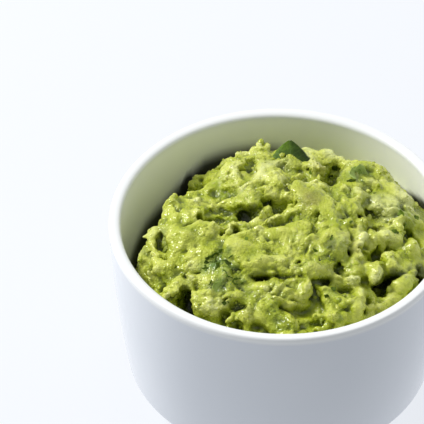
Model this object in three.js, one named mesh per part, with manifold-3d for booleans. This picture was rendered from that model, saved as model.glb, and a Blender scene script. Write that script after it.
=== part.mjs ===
// Guacamole served in a small plain white porcelain dip bowl.
//
// Units are millimetres, +Z is up. The origin is the centre of the circle on
// which the foot ring stands, so the bowl rests on the plane z = 0 and its
// axis is the Z axis. +X is to the right of the side that faces the diner,
// who sits on the -Y side.
//
// Solids:
//   bowl          the porcelain bowl, turned round Z
//   guacamole     the roughly mashed avocado, heaped in the bowl; it touches
//                 the wall in front and on the right, and stands away from it
//                 in a trough behind and on the left
//   herb_leaf     the folded coriander leaf that stands in the back of the heap

import * as THREE from 'three';
import { mergeVertices } from 'three/addons/utils/BufferGeometryUtils.js';
import Module from 'manifold-3d';

const wasm = await Module();
wasm.setup();

// ---------------------------------------------------------------- dimensions
// bowl
const RIM_RADIUS = 52.5;        // outer radius at the rim
const FOOT_HEIGHT = 2.0;        // how far the foot ring lifts the body
const BODY_HEIGHT = 66.0;       // body without the foot ring
const RIM_Z = FOOT_HEIGHT + BODY_HEIGHT;
const TAPER = 0.0877;           // radius lost per unit of depth
const BULGE = 0.0144 * RIM_RADIUS; // how far the wall swells half-way down
const CORNER_WIDTH = 0.42 * RIM_RADIUS;   // round corner between wall and base
const CORNER_DEPTH = 0.2297 * RIM_RADIUS;
const CORNER_POWER = 1.6;       // superellipse exponent of that corner
const LIP_OUT = 0.9;            // lip rounding, outside: width
const LIP_OUT_DROP = 1.2;       //   and depth
const LIP_IN = 2.7;             // flat top of the lip with its inside rounding: width
const LIP_IN_DROP = 2.0;        //   and depth
const LIP_IN_POWER = 2.8;       //   and superellipse exponent
const WALL_LOW = 4.6;           // wall thickness at the base corner
const FLOOR_THICKNESS = 5.0;
const FOOT_OUTER = 30.5;        // foot ring
const FOOT_INNER = 26.5;
const FOOT_RECESS = 0.6;        // how far the underside inside the ring is hollowed
const BOWL_SECTORS = 52;

// guacamole
const CLEARANCE = 0.35;         // between food and porcelain
const CROWN = 4.2;              // height of the middle of the heap above the rim
const DOME_DROP = 13.5;         // how far the dome falls at the rim radius
const CONTACT_DROP = 6.5;       // where the food meets the wall, below the rim
const CREST_RADIUS = 37.0;      // where the heap breaks off towards the trough,
const CREST_SHIFTS = [          //   and where that edge lies further in or out
  { at: 134, spread: 30, by: -8.0 },                        // degrees, degrees, mm
  { at: 85, spread: 25, by: -1.5 },
  { at: 203, spread: 14, by: 8.0 },
];
const FALL_POWER = 1.4;         // how steeply it falls from that edge at first
const TROUGH_LEFT = { at: 166, spread: 38, depth: 22.0 };
const TROUGH_BACK = { at: 88, spread: 60, depth: 11.0 };
const HEAP_SECTORS = 76;
const HEAP_RINGS = 25;
const WALL_RINGS = 8;
const SMALL_LUMPS = 150;        // spread evenly over the heap
const SMALL_LUMP_RADIUS = [3.2, 6.4];
const SMALL_LUMP_HEIGHT = [0.7, 1.9];

// the lumps and hollows that are large enough to pick out one by one:
// x, y, radius, height (negative for a hollow)
const MAIN_LUMPS = [
  [-7.6, 33.4, 3.4, 3.6],       // small peak at the back edge
  [-6.0, 18.5, 9.5, 1.8],       // broad pale lump behind the middle
  [11.5, 32.0, 7.5, 1.6],       // smooth lump right of the leaf
  [26.0, 22.5, 6.5, 2.0],       // curled edge at the back right
  [9.5, 1.5, 7.5, 1.8],         // smooth lump right of the middle
  [-33.0, 3.5, 6.5, 2.2],       // spiky lump over the left trough
  [-37.0, -9.0, 6.0, 2.0],
  [-10.4, -2.7, 4.2, -4.2],     // deep hole left of the middle
  [2.6, 10.4, 3.4, -3.2],       // pocket in front of the broad lump
  [16.8, 19.8, 3.2, -3.2],
  [30.0, -26.5, 3.6, -3.2],
  [-34.0, -24.0, 3.0, -2.6],
  [-25.0, 30.5, 4.4, 2.6],      // lumps down in the trough at the back left
  [-18.5, 35.5, 4.0, 2.0],
];

// herb leaf
const LEAF_WIDTH = 12.6;
const LEAF_LENGTH = 6.7;
const LEAF_THICKNESS = 0.7;
const LEAF_FOLD = 1.7;          // how far the midrib stands out of the edges
const LEAF_BEND = 1.3;          // how far the tip curls
const LEAF_BASE = [2.9, 26.6, 67.0];
const LEAF_LEAN = 57;           // degrees from vertical, towards the back
const LEAF_TURN = -6;           // degrees about Z
const LEAF_SKEW = 1.2;          // how far the tip sits to the left of the middle
const LEAF_GAP = 0.3;           // between leaf and food

// ------------------------------------------------------------------- helpers
const RAD = Math.PI / 180;
const clamp = (x, a, b) => Math.min(b, Math.max(a, x));
const mix = (a, b, t) => a + (b - a) * t;
const smooth = (t) => { t = clamp(t, 0, 1); return t * t * (3 - 2 * t); };

// repeatable pseudo-random number in 0..1
function hash(i, salt) {
  const s = Math.sin(i * 127.1 + salt * 311.7) * 43758.5453;
  return s - Math.floor(s);
}

function meshFrom(positions, triangles) {
  const g = new THREE.BufferGeometry();
  g.setAttribute('position', new THREE.Float32BufferAttribute(positions, 3));
  g.setIndex(triangles);
  return g;
}

function toManifold(geometry) {
  const g = geometry.clone();
  g.deleteAttribute('normal');
  g.deleteAttribute('uv');
  const m = mergeVertices(g, 1e-4);
  return new wasm.Manifold(new wasm.Mesh({
    numProp: 3,
    vertProperties: new Float32Array(m.attributes.position.array),
    triVerts: new Uint32Array(m.index.array),
  }));
}

function fromManifold(solid) {
  const m = solid.getMesh();
  const p = [];
  for (let i = 0; i < m.vertProperties.length; i += m.numProp) {
    p.push(m.vertProperties[i], m.vertProperties[i + 1], m.vertProperties[i + 2]);
  }
  return meshFrom(p, Array.from(m.triVerts));
}

// ---------------------------------------------------------------------- bowl
// Outer body profile as radius and z, from just under the lip to the base.
function outerProfile(wallSteps, cornerSteps) {
  const wallDepth = BODY_HEIGHT - CORNER_DEPTH;
  const radiusAt = (depth) => {
    const s = depth / wallDepth;
    return RIM_RADIUS - TAPER * depth + BULGE * 4 * s * (1 - s);
  };
  const pts = [];
  for (let i = 0; i <= wallSteps; i++) {
    const depth = mix(LIP_OUT_DROP, wallDepth, i / wallSteps);
    pts.push([radiusAt(depth), RIM_Z - depth]);
  }
  const rEnd = radiusAt(wallDepth);
  const slope = TAPER + (4 * BULGE) / wallDepth;
  for (let i = 1; i <= cornerSteps; i++) {
    const t = (Math.PI / 2) * (i / cornerSteps);
    const x = CORNER_WIDTH * Math.pow(Math.max(0, Math.cos(t)), 2 / CORNER_POWER);
    const z = CORNER_DEPTH * Math.pow(Math.sin(t), 2 / CORNER_POWER);
    const r = rEnd - CORNER_WIDTH + x - slope * z * (x / CORNER_WIDTH);
    pts.push([r, RIM_Z - wallDepth - z]);
  }
  return pts;
}

// Inner profile: from the lip's inner rounding down the wall to the floor.
const FLOOR_Z = FOOT_HEIGHT + FLOOR_THICKNESS;
const LIP_THICKNESS = LIP_OUT + LIP_IN;
function innerRadiusAt(z) {
  const depth = RIM_Z - z;
  const wallDepth = BODY_HEIGHT - CORNER_DEPTH;
  const s = clamp(depth / wallDepth, 0, 1);
  const outer = RIM_RADIUS - TAPER * depth + BULGE * 4 * s * (1 - s);
  return outer - mix(LIP_THICKNESS, WALL_LOW, smooth(depth / wallDepth));
}
const IN_CORNER_W = 20.0;       // inner corner between wall and floor
const IN_CORNER_D = 15.0;
const IN_CORNER_P = 1.9;
function innerProfile(wallSteps, cornerSteps, inset = 0) {
  const pts = [];
  const zTop = RIM_Z - LIP_IN_DROP;
  const zCorner = FLOOR_Z + IN_CORNER_D;
  for (let i = 0; i <= wallSteps; i++) {
    const z = mix(zTop, zCorner, i / wallSteps);
    pts.push([innerRadiusAt(z) - inset, z]);
  }
  const rc = innerRadiusAt(zCorner) - inset;
  for (let i = 1; i <= cornerSteps; i++) {
    const t = (Math.PI / 2) * (i / cornerSteps);
    const x = IN_CORNER_W * Math.pow(Math.max(0, Math.cos(t)), 2 / IN_CORNER_P);
    const d = (IN_CORNER_D - inset) * Math.pow(Math.sin(t), 2 / IN_CORNER_P);
    pts.push([rc - IN_CORNER_W + x - 0.06 * d * (x / IN_CORNER_W), zCorner - d]);
  }
  return pts;
}

function bowlGeometry() {
  const p = [];
  // underside, foot ring
  p.push([0, FOOT_HEIGHT + FOOT_RECESS]);
  p.push([FOOT_INNER - 1.6, FOOT_HEIGHT + FOOT_RECESS]);
  p.push([FOOT_INNER, 0.9]);
  p.push([FOOT_INNER + 0.7, 0]);
  p.push([FOOT_OUTER - 0.7, 0]);
  p.push([FOOT_OUTER, 0.8]);
  // body, from the foot ring outwards and up to the lip
  const body = outerProfile(5, 8).reverse().filter(([r]) => r > FOOT_OUTER + 0.4);
  p.push([FOOT_OUTER + 0.1, body[0][1] - 0.1]);
  for (const q of body) p.push(q);
  // lip
  for (let i = 1; i <= 4; i++) {
    const t = (Math.PI / 2) * (i / 4);
    p.push([RIM_RADIUS - LIP_OUT + LIP_OUT * Math.cos(t) - (i < 4 ? TAPER * LIP_OUT_DROP * (1 - i / 4) : 0),
      RIM_Z - LIP_OUT_DROP + LIP_OUT_DROP * Math.sin(t)]);
  }
  const rIn = innerRadiusAt(RIM_Z - LIP_IN_DROP);
  const lipIn = RIM_RADIUS - LIP_OUT - rIn;
  for (let i = 1; i < 5; i++) {
    const t = (Math.PI / 2) * (i / 5);
    p.push([RIM_RADIUS - LIP_OUT - lipIn * Math.sin(t) ** (2 / LIP_IN_POWER),
      RIM_Z - LIP_IN_DROP + LIP_IN_DROP * Math.cos(t) ** (2 / LIP_IN_POWER)]);
  }
  // inside
  for (const q of innerProfile(4, 7)) p.push(q);
  p.push([0, FLOOR_Z]);
  const g = new THREE.LatheGeometry(p.map(([r, z]) => new THREE.Vector2(r, z)), BOWL_SECTORS);
  g.rotateX(Math.PI / 2); // the lathe turns round Y: stand it up on Z
  g.deleteAttribute('normal');
  g.deleteAttribute('uv');
  return fromManifold(toManifold(g));
}

// ----------------------------------------------------------------- guacamole
const angleGap = (a, b) => Math.abs(((a - b + 540) % 360) - 180);
const bell = (deg, spec) => Math.exp(-Math.pow(angleGap(deg, spec.at) / spec.spread, 4));
function trough(deg) {          // depth of the trough below the normal contact
  return Math.max(TROUGH_LEFT.depth * bell(deg, TROUGH_LEFT),
    TROUGH_BACK.depth * bell(deg, TROUGH_BACK));
}
const contactZ = (deg) => RIM_Z - CONTACT_DROP - trough(deg)
  + 0.7 * Math.sin(deg * RAD * 5 + 1) + 0.5 * Math.sin(deg * RAD * 9);
const crestRadius = (deg) => CREST_SHIFTS.reduce(
  (r, { at, spread, by }) => r + by * Math.exp(-((angleGap(deg, at) / spread) ** 2)),
  CREST_RADIUS + 0.8 * Math.sin(deg * RAD * 4));

const lumps = MAIN_LUMPS.slice();
for (let i = 0; i < SMALL_LUMPS; i++) {
  const r = 46 * Math.sqrt((i + 0.5) / SMALL_LUMPS);
  const a = i * 2.399963 + 0.6 * hash(i, 1);
  lumps.push([r * Math.cos(a), r * Math.sin(a),
    mix(...SMALL_LUMP_RADIUS, hash(i, 2)),
    mix(...SMALL_LUMP_HEIGHT, hash(i, 3)) * (hash(i, 4) < 0.3 ? -1 : 1)]);
}

function lumpiness(x, y) {
  let up = 0, down = 0;
  for (const [lx, ly, lr, lh] of lumps) {
    const d2 = ((x - lx) ** 2 + (y - ly) ** 2) / (lr * lr);
    if (d2 >= 1) continue;
    const k = lh * (1 - d2) ** 1.5;
    if (k > 0) up = Math.max(up, k) + 0.25 * Math.min(up, k); else down = Math.min(down, k);
  }
  return up + down - 0.5;
}

function heapGeometry() {
  const positions = [], triangles = [];
  const ring = [];
  const N = HEAP_SECTORS;
  const profile = innerProfile(30, 30, CLEARANCE);
  profile.push([0, FLOOR_Z + CLEARANCE]);
  // arc length along the wall profile, from the middle of the floor outwards
  profile.reverse();
  const arc = [0];
  for (let i = 1; i < profile.length; i++) {
    arc.push(arc[i - 1] + Math.hypot(profile[i][0] - profile[i - 1][0], profile[i][1] - profile[i - 1][1]));
  }
  const alongProfile = (s) => {
    let i = 1;
    while (i < arc.length - 1 && arc[i] < s) i++;
    const t = clamp((s - arc[i - 1]) / (arc[i] - arc[i - 1]), 0, 1);
    return [mix(profile[i - 1][0], profile[i][0], t), mix(profile[i - 1][1], profile[i][1], t)];
  };
  const arcAtZ = (z) => {       // on the wall, where z rises with the arc
    let i = profile.length - 1;
    while (i > 1 && profile[i - 1][1] > z) i--;
    const t = (z - profile[i - 1][1]) / (profile[i][1] - profile[i - 1][1]);
    return mix(arc[i - 1], arc[i], clamp(t, 0, 1));
  };
  const floorArc = arc[1];      // flat floor up to the inner corner

  const put = (x, y, z) => { positions.push(x, y, z); return positions.length / 3 - 1; };
  const bottom = put(0, 0, FLOOR_Z + CLEARANCE);
  // floor and wall rings
  for (let k = 0; k <= WALL_RINGS; k++) {
    const row = [];
    for (let j = 0; j < N; j++) {
      const deg = (360 * j) / N;
      const sEdge = arcAtZ(contactZ(deg));
      const [r, z] = alongProfile(mix(floorArc, sEdge, k / WALL_RINGS));
      row.push(put(r * Math.cos(deg * RAD), r * Math.sin(deg * RAD), z));
    }
    ring.push(row);
  }
  // top rings, from the wall inwards
  for (let k = 1; k < HEAP_RINGS; k++) {
    const row = [];
    for (let j = 0; j < N; j++) {
      const deg = (360 * j) / N;
      const zEdge = contactZ(deg);
      const rEdge = alongProfile(arcAtZ(zEdge))[0];
      const t = 1 - Math.pow(k / HEAP_RINGS, 0.92);
      const r = rEdge * t;
      const x = r * Math.cos(deg * RAD), y = r * Math.sin(deg * RAD);
      const dome = RIM_Z + CROWN - DOME_DROP * (r / RIM_RADIUS) ** 2;
      // from the crest the heap falls to the trough; elsewhere it runs to the wall
      const open = clamp(trough(deg) / 9, 0, 1);
      const crest = mix(rEdge - 4, crestRadius(deg), open);
      const u = clamp((r - crest) / (rEdge - crest), 0, 1);
      const fall = mix(smooth(u), 1 - (1 - u) ** FALL_POWER, open);
      const bumps = lumpiness(x, y) * (1 - fall * 0.5) * smooth((rEdge - r) / 4);
      const z = mix(dome, zEdge, fall) + bumps;
      row.push(put(x, y, z));
    }
    ring.push(row);
  }
  const top = put(0, 0, RIM_Z + CROWN + lumpiness(0, 0));
  for (let j = 0; j < N; j++) {
    const n = (j + 1) % N;
    triangles.push(bottom, ring[0][n], ring[0][j]);
    for (let k = 0; k + 1 < ring.length; k++) {
      triangles.push(ring[k][j], ring[k][n], ring[k + 1][n], ring[k][j], ring[k + 1][n], ring[k + 1][j]);
    }
    const last = ring[ring.length - 1];
    triangles.push(last[j], last[n], top);
  }
  return meshFrom(positions, triangles);
}

// ----------------------------------------------------------------- herb leaf
// A closed sheet over a pointed oval; grow widens it all round, for the slot
// that it needs in the food.
function leafGeometry(grow) {
  const ACROSS = 8, ALONG = 7;
  const positions = [], triangles = [];
  const side = [[], []];
  for (let s = 0; s < 2; s++) {
    for (let i = 0; i <= ALONG; i++) {
      const t = i / ALONG;      // 0 at the base, 1 at the tip
      const half = (LEAF_WIDTH / 2) * (1 - 0.93 * t ** 2.1) + grow;
      const row = [];
      for (let j = 0; j <= ACROSS; j++) {
        const v = (2 * j) / ACROSS - 1;
        const z = mix(-grow, LEAF_LENGTH + grow, t);
        const x = half * v - LEAF_SKEW * (z / LEAF_LENGTH);
        const w = (2 * x) / LEAF_WIDTH;
        const y = -LEAF_FOLD * (1 - w * w) - LEAF_BEND * (z / LEAF_LENGTH) ** 2
          + (s ? 1 : -1) * (LEAF_THICKNESS / 2 + 1.15 * grow);
        positions.push(x, y, z);
        row.push(positions.length / 3 - 1);
      }
      side[s].push(row);
    }
  }
  const quad = (a, b, c, d) => triangles.push(a, b, c, a, c, d);
  for (let i = 0; i < ALONG; i++) {
    for (let j = 0; j < ACROSS; j++) {
      quad(side[0][i][j], side[0][i][j + 1], side[0][i + 1][j + 1], side[0][i + 1][j]);
      quad(side[1][i][j + 1], side[1][i][j], side[1][i + 1][j], side[1][i + 1][j + 1]);
    }
    quad(side[0][i + 1][0], side[1][i + 1][0], side[1][i][0], side[0][i][0]);
    quad(side[0][i][ACROSS], side[1][i][ACROSS], side[1][i + 1][ACROSS], side[0][i + 1][ACROSS]);
  }
  for (let j = 0; j < ACROSS; j++) {
    quad(side[0][0][j + 1], side[0][0][j], side[1][0][j], side[1][0][j + 1]);
    quad(side[0][ALONG][j], side[0][ALONG][j + 1], side[1][ALONG][j + 1], side[1][ALONG][j]);
  }
  const g = meshFrom(positions, triangles);
  g.rotateX(-LEAF_LEAN * RAD);
  g.rotateZ(LEAF_TURN * RAD);
  g.translate(...LEAF_BASE);
  return g;
}

// ------------------------------------------------------------------ assembly
const porcelain = new THREE.MeshStandardMaterial({ color: 0xf0f1f2, roughness: 0.16, metalness: 0 });
const avocado = new THREE.MeshStandardMaterial({ color: 0xa9ba4b, roughness: 0.42, metalness: 0 });
const herb = new THREE.MeshStandardMaterial({ color: 0x4d6b26, roughness: 0.45, metalness: 0 });

const object = new THREE.Group();
object.name = 'guacamole_in_bowl';
function add(name, geometry, material) {
  geometry.computeVertexNormals();
  const mesh = new THREE.Mesh(geometry, material);
  mesh.name = name;
  object.add(mesh);
}

add('bowl', bowlGeometry(), porcelain);
add('guacamole', fromManifold(toManifold(heapGeometry()).subtract(toManifold(leafGeometry(LEAF_GAP)))), avocado);
add('herb_leaf', fromManifold(toManifold(leafGeometry(0))), herb);

export default object;
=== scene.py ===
"""Guacamole heaped in a small white porcelain dip bowl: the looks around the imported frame.

Lengths in the modelling code are millimetres in the row's frame (origin under the
middle of the foot ring, +Z up); every mesh is written in metres.
"""
import math

import bpy
import numpy as np
import openvdb as vdb
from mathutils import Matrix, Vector


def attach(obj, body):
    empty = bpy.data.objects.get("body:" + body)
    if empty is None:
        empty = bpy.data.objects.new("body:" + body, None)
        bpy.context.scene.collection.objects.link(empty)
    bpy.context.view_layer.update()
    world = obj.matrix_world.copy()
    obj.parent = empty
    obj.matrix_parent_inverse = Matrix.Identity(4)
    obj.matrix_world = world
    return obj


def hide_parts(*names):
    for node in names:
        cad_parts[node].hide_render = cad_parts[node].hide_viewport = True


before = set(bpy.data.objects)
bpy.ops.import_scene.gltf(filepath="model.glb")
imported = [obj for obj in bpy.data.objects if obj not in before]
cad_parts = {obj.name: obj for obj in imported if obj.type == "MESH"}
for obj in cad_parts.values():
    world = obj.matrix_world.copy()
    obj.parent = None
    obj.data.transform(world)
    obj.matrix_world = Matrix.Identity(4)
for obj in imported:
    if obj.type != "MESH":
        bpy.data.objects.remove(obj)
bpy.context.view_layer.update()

MM = 0.001
RIM_Z = 68.0
RIM_RADIUS = 52.5

# ------------------------------------------------------------------ camera
IMAGE = 424
FOCAL = 2765.0                     # in pixels of that image
CAM = np.array([0.0, -622.179, 632.352])
YAW, PITCH = math.radians(-1.9428), math.radians(42.0903)
FWD = np.array([math.sin(YAW) * math.cos(PITCH), math.cos(YAW) * math.cos(PITCH), -math.sin(PITCH)])
RIGHT = np.array([math.cos(YAW), -math.sin(YAW), 0.0])
UP = np.cross(RIGHT, FWD)

cam_data = bpy.data.cameras.new("camera")
cam_data.sensor_width = 36.0
cam_data.lens = FOCAL * 36.0 / IMAGE
cam_data.clip_start, cam_data.clip_end = 0.05, 20.0
cam = bpy.data.objects.new("camera", cam_data)
cam.location = CAM * MM
cam.rotation_euler = (math.pi / 2 - PITCH, 0.0, -YAW)
bpy.context.scene.collection.objects.link(cam)
bpy.context.scene.camera = cam


# ------------------------------------------------------------------ helpers
def mesh_object(name, verts, faces, smooth=True):
    """A mesh object from arrays; faces is an (n, 3) or (n, 4) array, or a list of both."""
    if isinstance(faces, np.ndarray):
        faces = [faces]
    me = bpy.data.meshes.new(name)
    v = np.asarray(verts, dtype=np.float32) * MM
    me.vertices.add(len(v))
    me.vertices.foreach_set("co", v.ravel())
    loops = np.concatenate([f.ravel() for f in faces]).astype(np.int32)
    sizes = np.concatenate([np.full(len(f), f.shape[1]) for f in faces]).astype(np.int32)
    starts = np.concatenate([[0], np.cumsum(sizes)[:-1]]).astype(np.int32)
    me.loops.add(len(loops))
    me.loops.foreach_set("vertex_index", loops)
    me.polygons.add(len(sizes))
    me.polygons.foreach_set("loop_start", starts)
    me.polygons.foreach_set("loop_total", sizes)
    me.polygons.foreach_set("use_smooth", np.full(len(sizes), smooth))
    me.update(calc_edges=True)
    me.validate()
    ob = bpy.data.objects.new(name, me)
    bpy.context.scene.collection.objects.link(ob)
    return ob


def point_value(ob, name, values):
    a = ob.data.attributes.new(name, "FLOAT", "POINT")
    a.data.foreach_set("value", np.asarray(values, dtype=np.float32))


def point_colour(ob, name, rgb):
    a = ob.data.color_attributes.new(name, "FLOAT_COLOR", "POINT")
    rgba = np.concatenate([rgb, np.ones((len(rgb), 1))], axis=1).astype(np.float32)
    a.data.foreach_set("color", rgba.ravel())


def smoothstep(t):
    t = np.clip(t, 0.0, 1.0)
    return t * t * (3 - 2 * t)


def mix(a, b, t):
    return a + (b - a) * t


class ValueNoise:
    """Smooth noise in -1..1 on a repeating lattice."""

    def __init__(self, seed, n=64):
        self.n = n
        self.v = np.random.default_rng(seed).uniform(-1, 1, (n, n, n)).astype(np.float32)

    def __call__(self, p, size):
        q = p / size
        i = np.floor(q).astype(np.int64)
        f = (q - i).astype(np.float32)
        f = f * f * f * (f * (f * 6 - 15) + 10)
        n = self.n
        out = 0
        for dx in (0, 1):
            wx = f[:, 0] if dx else 1 - f[:, 0]
            for dy in (0, 1):
                wy = f[:, 1] if dy else 1 - f[:, 1]
                for dz in (0, 1):
                    wz = f[:, 2] if dz else 1 - f[:, 2]
                    out = out + wx * wy * wz * self.v[(i[:, 0] + dx) % n, (i[:, 1] + dy) % n, (i[:, 2] + dz) % n]
        return out


class CellNoise:
    """Rounded distance to the nearest of one random point per cell, in cells, and that point's own number."""

    def __init__(self, seed, n=40, uneven=0.5, sharp=9.0):
        g = np.random.default_rng(seed)
        self.n, self.uneven, self.sharp = n, uneven, sharp
        self.j = g.uniform(0.08, 0.92, (n, n, n, 3)).astype(np.float32)
        self.id = g.uniform(0, 1, (n, n, n)).astype(np.float32)

    def __call__(self, p, size):
        q = (p / size).astype(np.float32)
        i = np.floor(q).astype(np.int64)
        f = q - i
        best = np.full(len(p), 9.0, np.float32)
        who = np.zeros(len(p), np.float32)
        total = np.zeros(len(p), np.float32)
        n = self.n
        for dx in (-1, 0, 1):
            for dy in (-1, 0, 1):
                for dz in (-1, 0, 1):
                    a, b, c = (i[:, 0] + dx) % n, (i[:, 1] + dy) % n, (i[:, 2] + dz) % n
                    j = self.j[a, b, c]
                    d = (dx + j[:, 0] - f[:, 0]) ** 2 + (dy + j[:, 1] - f[:, 1]) ** 2 + (dz + j[:, 2] - f[:, 2]) ** 2
                    own = self.id[a, b, c]
                    d = d + self.uneven * own
                    total += np.exp(-self.sharp * d)
                    m = d < best
                    best = np.where(m, d, best)
                    who = np.where(m, own, who)
        return np.sqrt(np.clip(-np.log(total + 1e-12) / self.sharp + 0.08, 0, None)), who


# ------------------------------------------------------------------ the bowl's form
BODY_HEIGHT, FOOT_HEIGHT, FLOOR_THICKNESS = 66.0, 2.0, 5.0
TAPER, BULGE = 0.0877, 0.0144 * 52.5
CORNER_W, CORNER_D, CORNER_P = 0.42 * 52.5, 0.2297 * 52.5, 1.6
LIP_OUT, LIP_OUT_DROP, LIP_IN, LIP_IN_DROP, WALL_LOW = 0.9, 1.2, 2.7, 2.0, 4.6
LIP_POWER = 2.8
FOOT_OUTER, FOOT_INNER, FOOT_RECESS = 30.5, 26.5, 0.6
WALL_DEPTH = BODY_HEIGHT - CORNER_D


def outer_radius(depth):
    s = depth / WALL_DEPTH
    return RIM_RADIUS - TAPER * depth + BULGE * 4 * s * (1 - s)


def inner_radius(z):
    depth = RIM_Z - z
    s = np.clip(depth / WALL_DEPTH, 0, 1)
    return RIM_RADIUS - TAPER * depth + BULGE * 4 * s * (1 - s) - mix(LIP_OUT + LIP_IN, WALL_LOW, smoothstep(depth / WALL_DEPTH))


def inner_profile(steps_wall, steps_corner, inset=0.0):
    floor_z = FOOT_HEIGHT + FLOOR_THICKNESS
    zc = floor_z + 15.0
    z = np.linspace(RIM_Z - LIP_IN_DROP, zc, steps_wall + 1)
    pts = [(inner_radius(a) - inset, a) for a in z]
    rc = inner_radius(zc) - inset
    for t in np.linspace(0, math.pi / 2, steps_corner + 1)[1:]:
        x = 20.0 * max(0.0, math.cos(t)) ** (2 / 1.9)
        d = (15.0 - inset) * math.sin(t) ** (2 / 1.9)
        pts.append((rc - 20.0 + x - 0.06 * d * (x / 20.0), zc - d))
    return pts


def bowl_profile():
    p = [(0.0, FOOT_HEIGHT + FOOT_RECESS), (8.0, FOOT_HEIGHT + FOOT_RECESS), (17.0, FOOT_HEIGHT + FOOT_RECESS), (FOOT_INNER - 2.2, FOOT_HEIGHT + FOOT_RECESS)]
    p += [(FOOT_INNER - 1.2, FOOT_HEIGHT + 0.35), (FOOT_INNER - 0.35, 1.3), (FOOT_INNER + 0.1, 0.55), (FOOT_INNER + 0.35, 0.22),
          (FOOT_INNER + 0.75, 0.02), (FOOT_OUTER - 0.8, 0.02), (FOOT_OUTER - 0.35, 0.2), (FOOT_OUTER - 0.1, 0.5), (FOOT_OUTER + 0.05, 1.0)]
    body = [(outer_radius(d), RIM_Z - d) for d in np.linspace(LIP_OUT_DROP, WALL_DEPTH, 40)]
    r_end, slope = outer_radius(WALL_DEPTH), TAPER + 4 * BULGE / WALL_DEPTH
    for t in np.linspace(0, math.pi / 2, 61)[1:]:
        x, z = CORNER_W * max(0.0, math.cos(t)) ** (2 / CORNER_P), CORNER_D * math.sin(t) ** (2 / CORNER_P)
        body.append((r_end - CORNER_W + x - slope * z * (x / CORNER_W), RIM_Z - WALL_DEPTH - z))
    body = [q for q in reversed(body) if q[0] > FOOT_OUTER + 1.0]
    # a small fillet between the foot ring and the body
    z0 = body[0][1]
    p += [(FOOT_OUTER + 0.12, z0 - 0.75), (FOOT_OUTER + 0.3, z0 - 0.3), (FOOT_OUTER + 0.62, z0 - 0.08)]
    p += body
    r0 = body[-1][0]
    for t in np.linspace(0, math.pi / 2, 13)[1:]:
        p.append((RIM_RADIUS - LIP_OUT + (r0 - RIM_RADIUS + LIP_OUT) * math.cos(t), RIM_Z - LIP_OUT_DROP + LIP_OUT_DROP * math.sin(t)))
    r_in = inner_radius(RIM_Z - LIP_IN_DROP)
    w = RIM_RADIUS - LIP_OUT - r_in
    for t in np.linspace(0, math.pi / 2, 21)[1:-1]:
        p.append((RIM_RADIUS - LIP_OUT - w * math.sin(t) ** (2 / LIP_POWER), RIM_Z - LIP_IN_DROP + LIP_IN_DROP * math.cos(t) ** (2 / LIP_POWER)))
    p += inner_profile(26, 26)
    p.append((0.0, FOOT_HEIGHT + FLOOR_THICKNESS))
    return np.array(p, dtype=float)


def lathe(profile, sectors):
    """A closed turned body from a profile that starts and ends on the axis."""
    mid = profile[1:-1]
    a = np.arange(sectors) * 2 * math.pi / sectors
    ring = np.stack([mid[:, 0][:, None] * np.cos(a), mid[:, 0][:, None] * np.sin(a), np.repeat(mid[:, 1][:, None], sectors, 1)], 2)
    verts = np.concatenate([ring.reshape(-1, 3), [[0, 0, profile[0, 1]]], [[0, 0, profile[-1, 1]]]])
    k = np.arange(len(mid) - 1)[:, None] * sectors
    j = np.arange(sectors)[None]
    n = (j + 1) % sectors
    quads = np.stack([k + j, k + n, k + sectors + n, k + sectors + j], 2).reshape(-1, 4)
    first, last = len(mid) * sectors, len(mid) * sectors + 1
    tri = np.concatenate([np.stack([np.full(sectors, first), n[0], j[0]], 1),
                          np.stack([np.full(sectors, last), (len(mid) - 1) * sectors + j[0], (len(mid) - 1) * sectors + n[0]], 1)])
    return verts, [quads, tri]


# ------------------------------------------------------------------ the heap's form
CROWN, DOME_DROP, CONTACT_DROP, CREST, FALL = 4.2, 13.5, 6.5, 37.0, 1.4
CREST_SHIFTS = [(134, 30, -8.0), (85, 25, -1.5), (203, 14, 8.0)]
TROUGH_LEFT, TROUGH_BACK = (166, 38, 22.0), (88, 60, 11.0)


def trough(deg):
    def bell(at, spread):
        return np.exp(-(np.abs((deg - at + 540) % 360 - 180) / spread) ** 4)
    return np.maximum(TROUGH_LEFT[2] * bell(*TROUGH_LEFT[:2]), TROUGH_BACK[2] * bell(*TROUGH_BACK[:2]))


def heap_height(x, y):
    """The heap without its lumps: the CAD solid's, a little lower in the middle to leave room for the loose mash."""
    r = np.hypot(x, y)
    phi = np.arctan2(y, x)
    deg = np.degrees(phi) % 360
    z_edge = RIM_Z - CONTACT_DROP - trough(deg) + 0.7 * np.sin(phi * 5 + 1) + 0.5 * np.sin(phi * 9)
    r_edge = inner_radius(z_edge) - 0.35
    dome = RIM_Z + CROWN - DOME_DROP * (r / RIM_RADIUS) ** 2 - 1.3 * np.exp(-(r / 21) ** 2)
    opened = np.clip(trough(deg) / 9, 0, 1)
    crest = CREST + 0.8 * np.sin(phi * 4)
    for at, spread, by in CREST_SHIFTS:
        crest = crest + by * np.exp(-(np.abs((deg - at + 540) % 360 - 180) / spread) ** 2)
    crest = mix(r_edge - 4, crest, opened)
    u = np.clip((r - crest) / (r_edge - crest), 0, 1)
    fall = mix(smoothstep(u), 1 - (1 - u) ** FALL, opened)
    return mix(dome, z_edge, fall)


def heap_normal(x, y):
    e = 0.8
    hgt = heap_height(np.array([x + e, x - e, x, x]), np.array([y, y, y + e, y - e]))
    n = np.array([-(hgt[0] - hgt[1]) / (2 * e), -(hgt[2] - hgt[3]) / (2 * e), 1.0])
    return n / np.linalg.norm(n)


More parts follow.
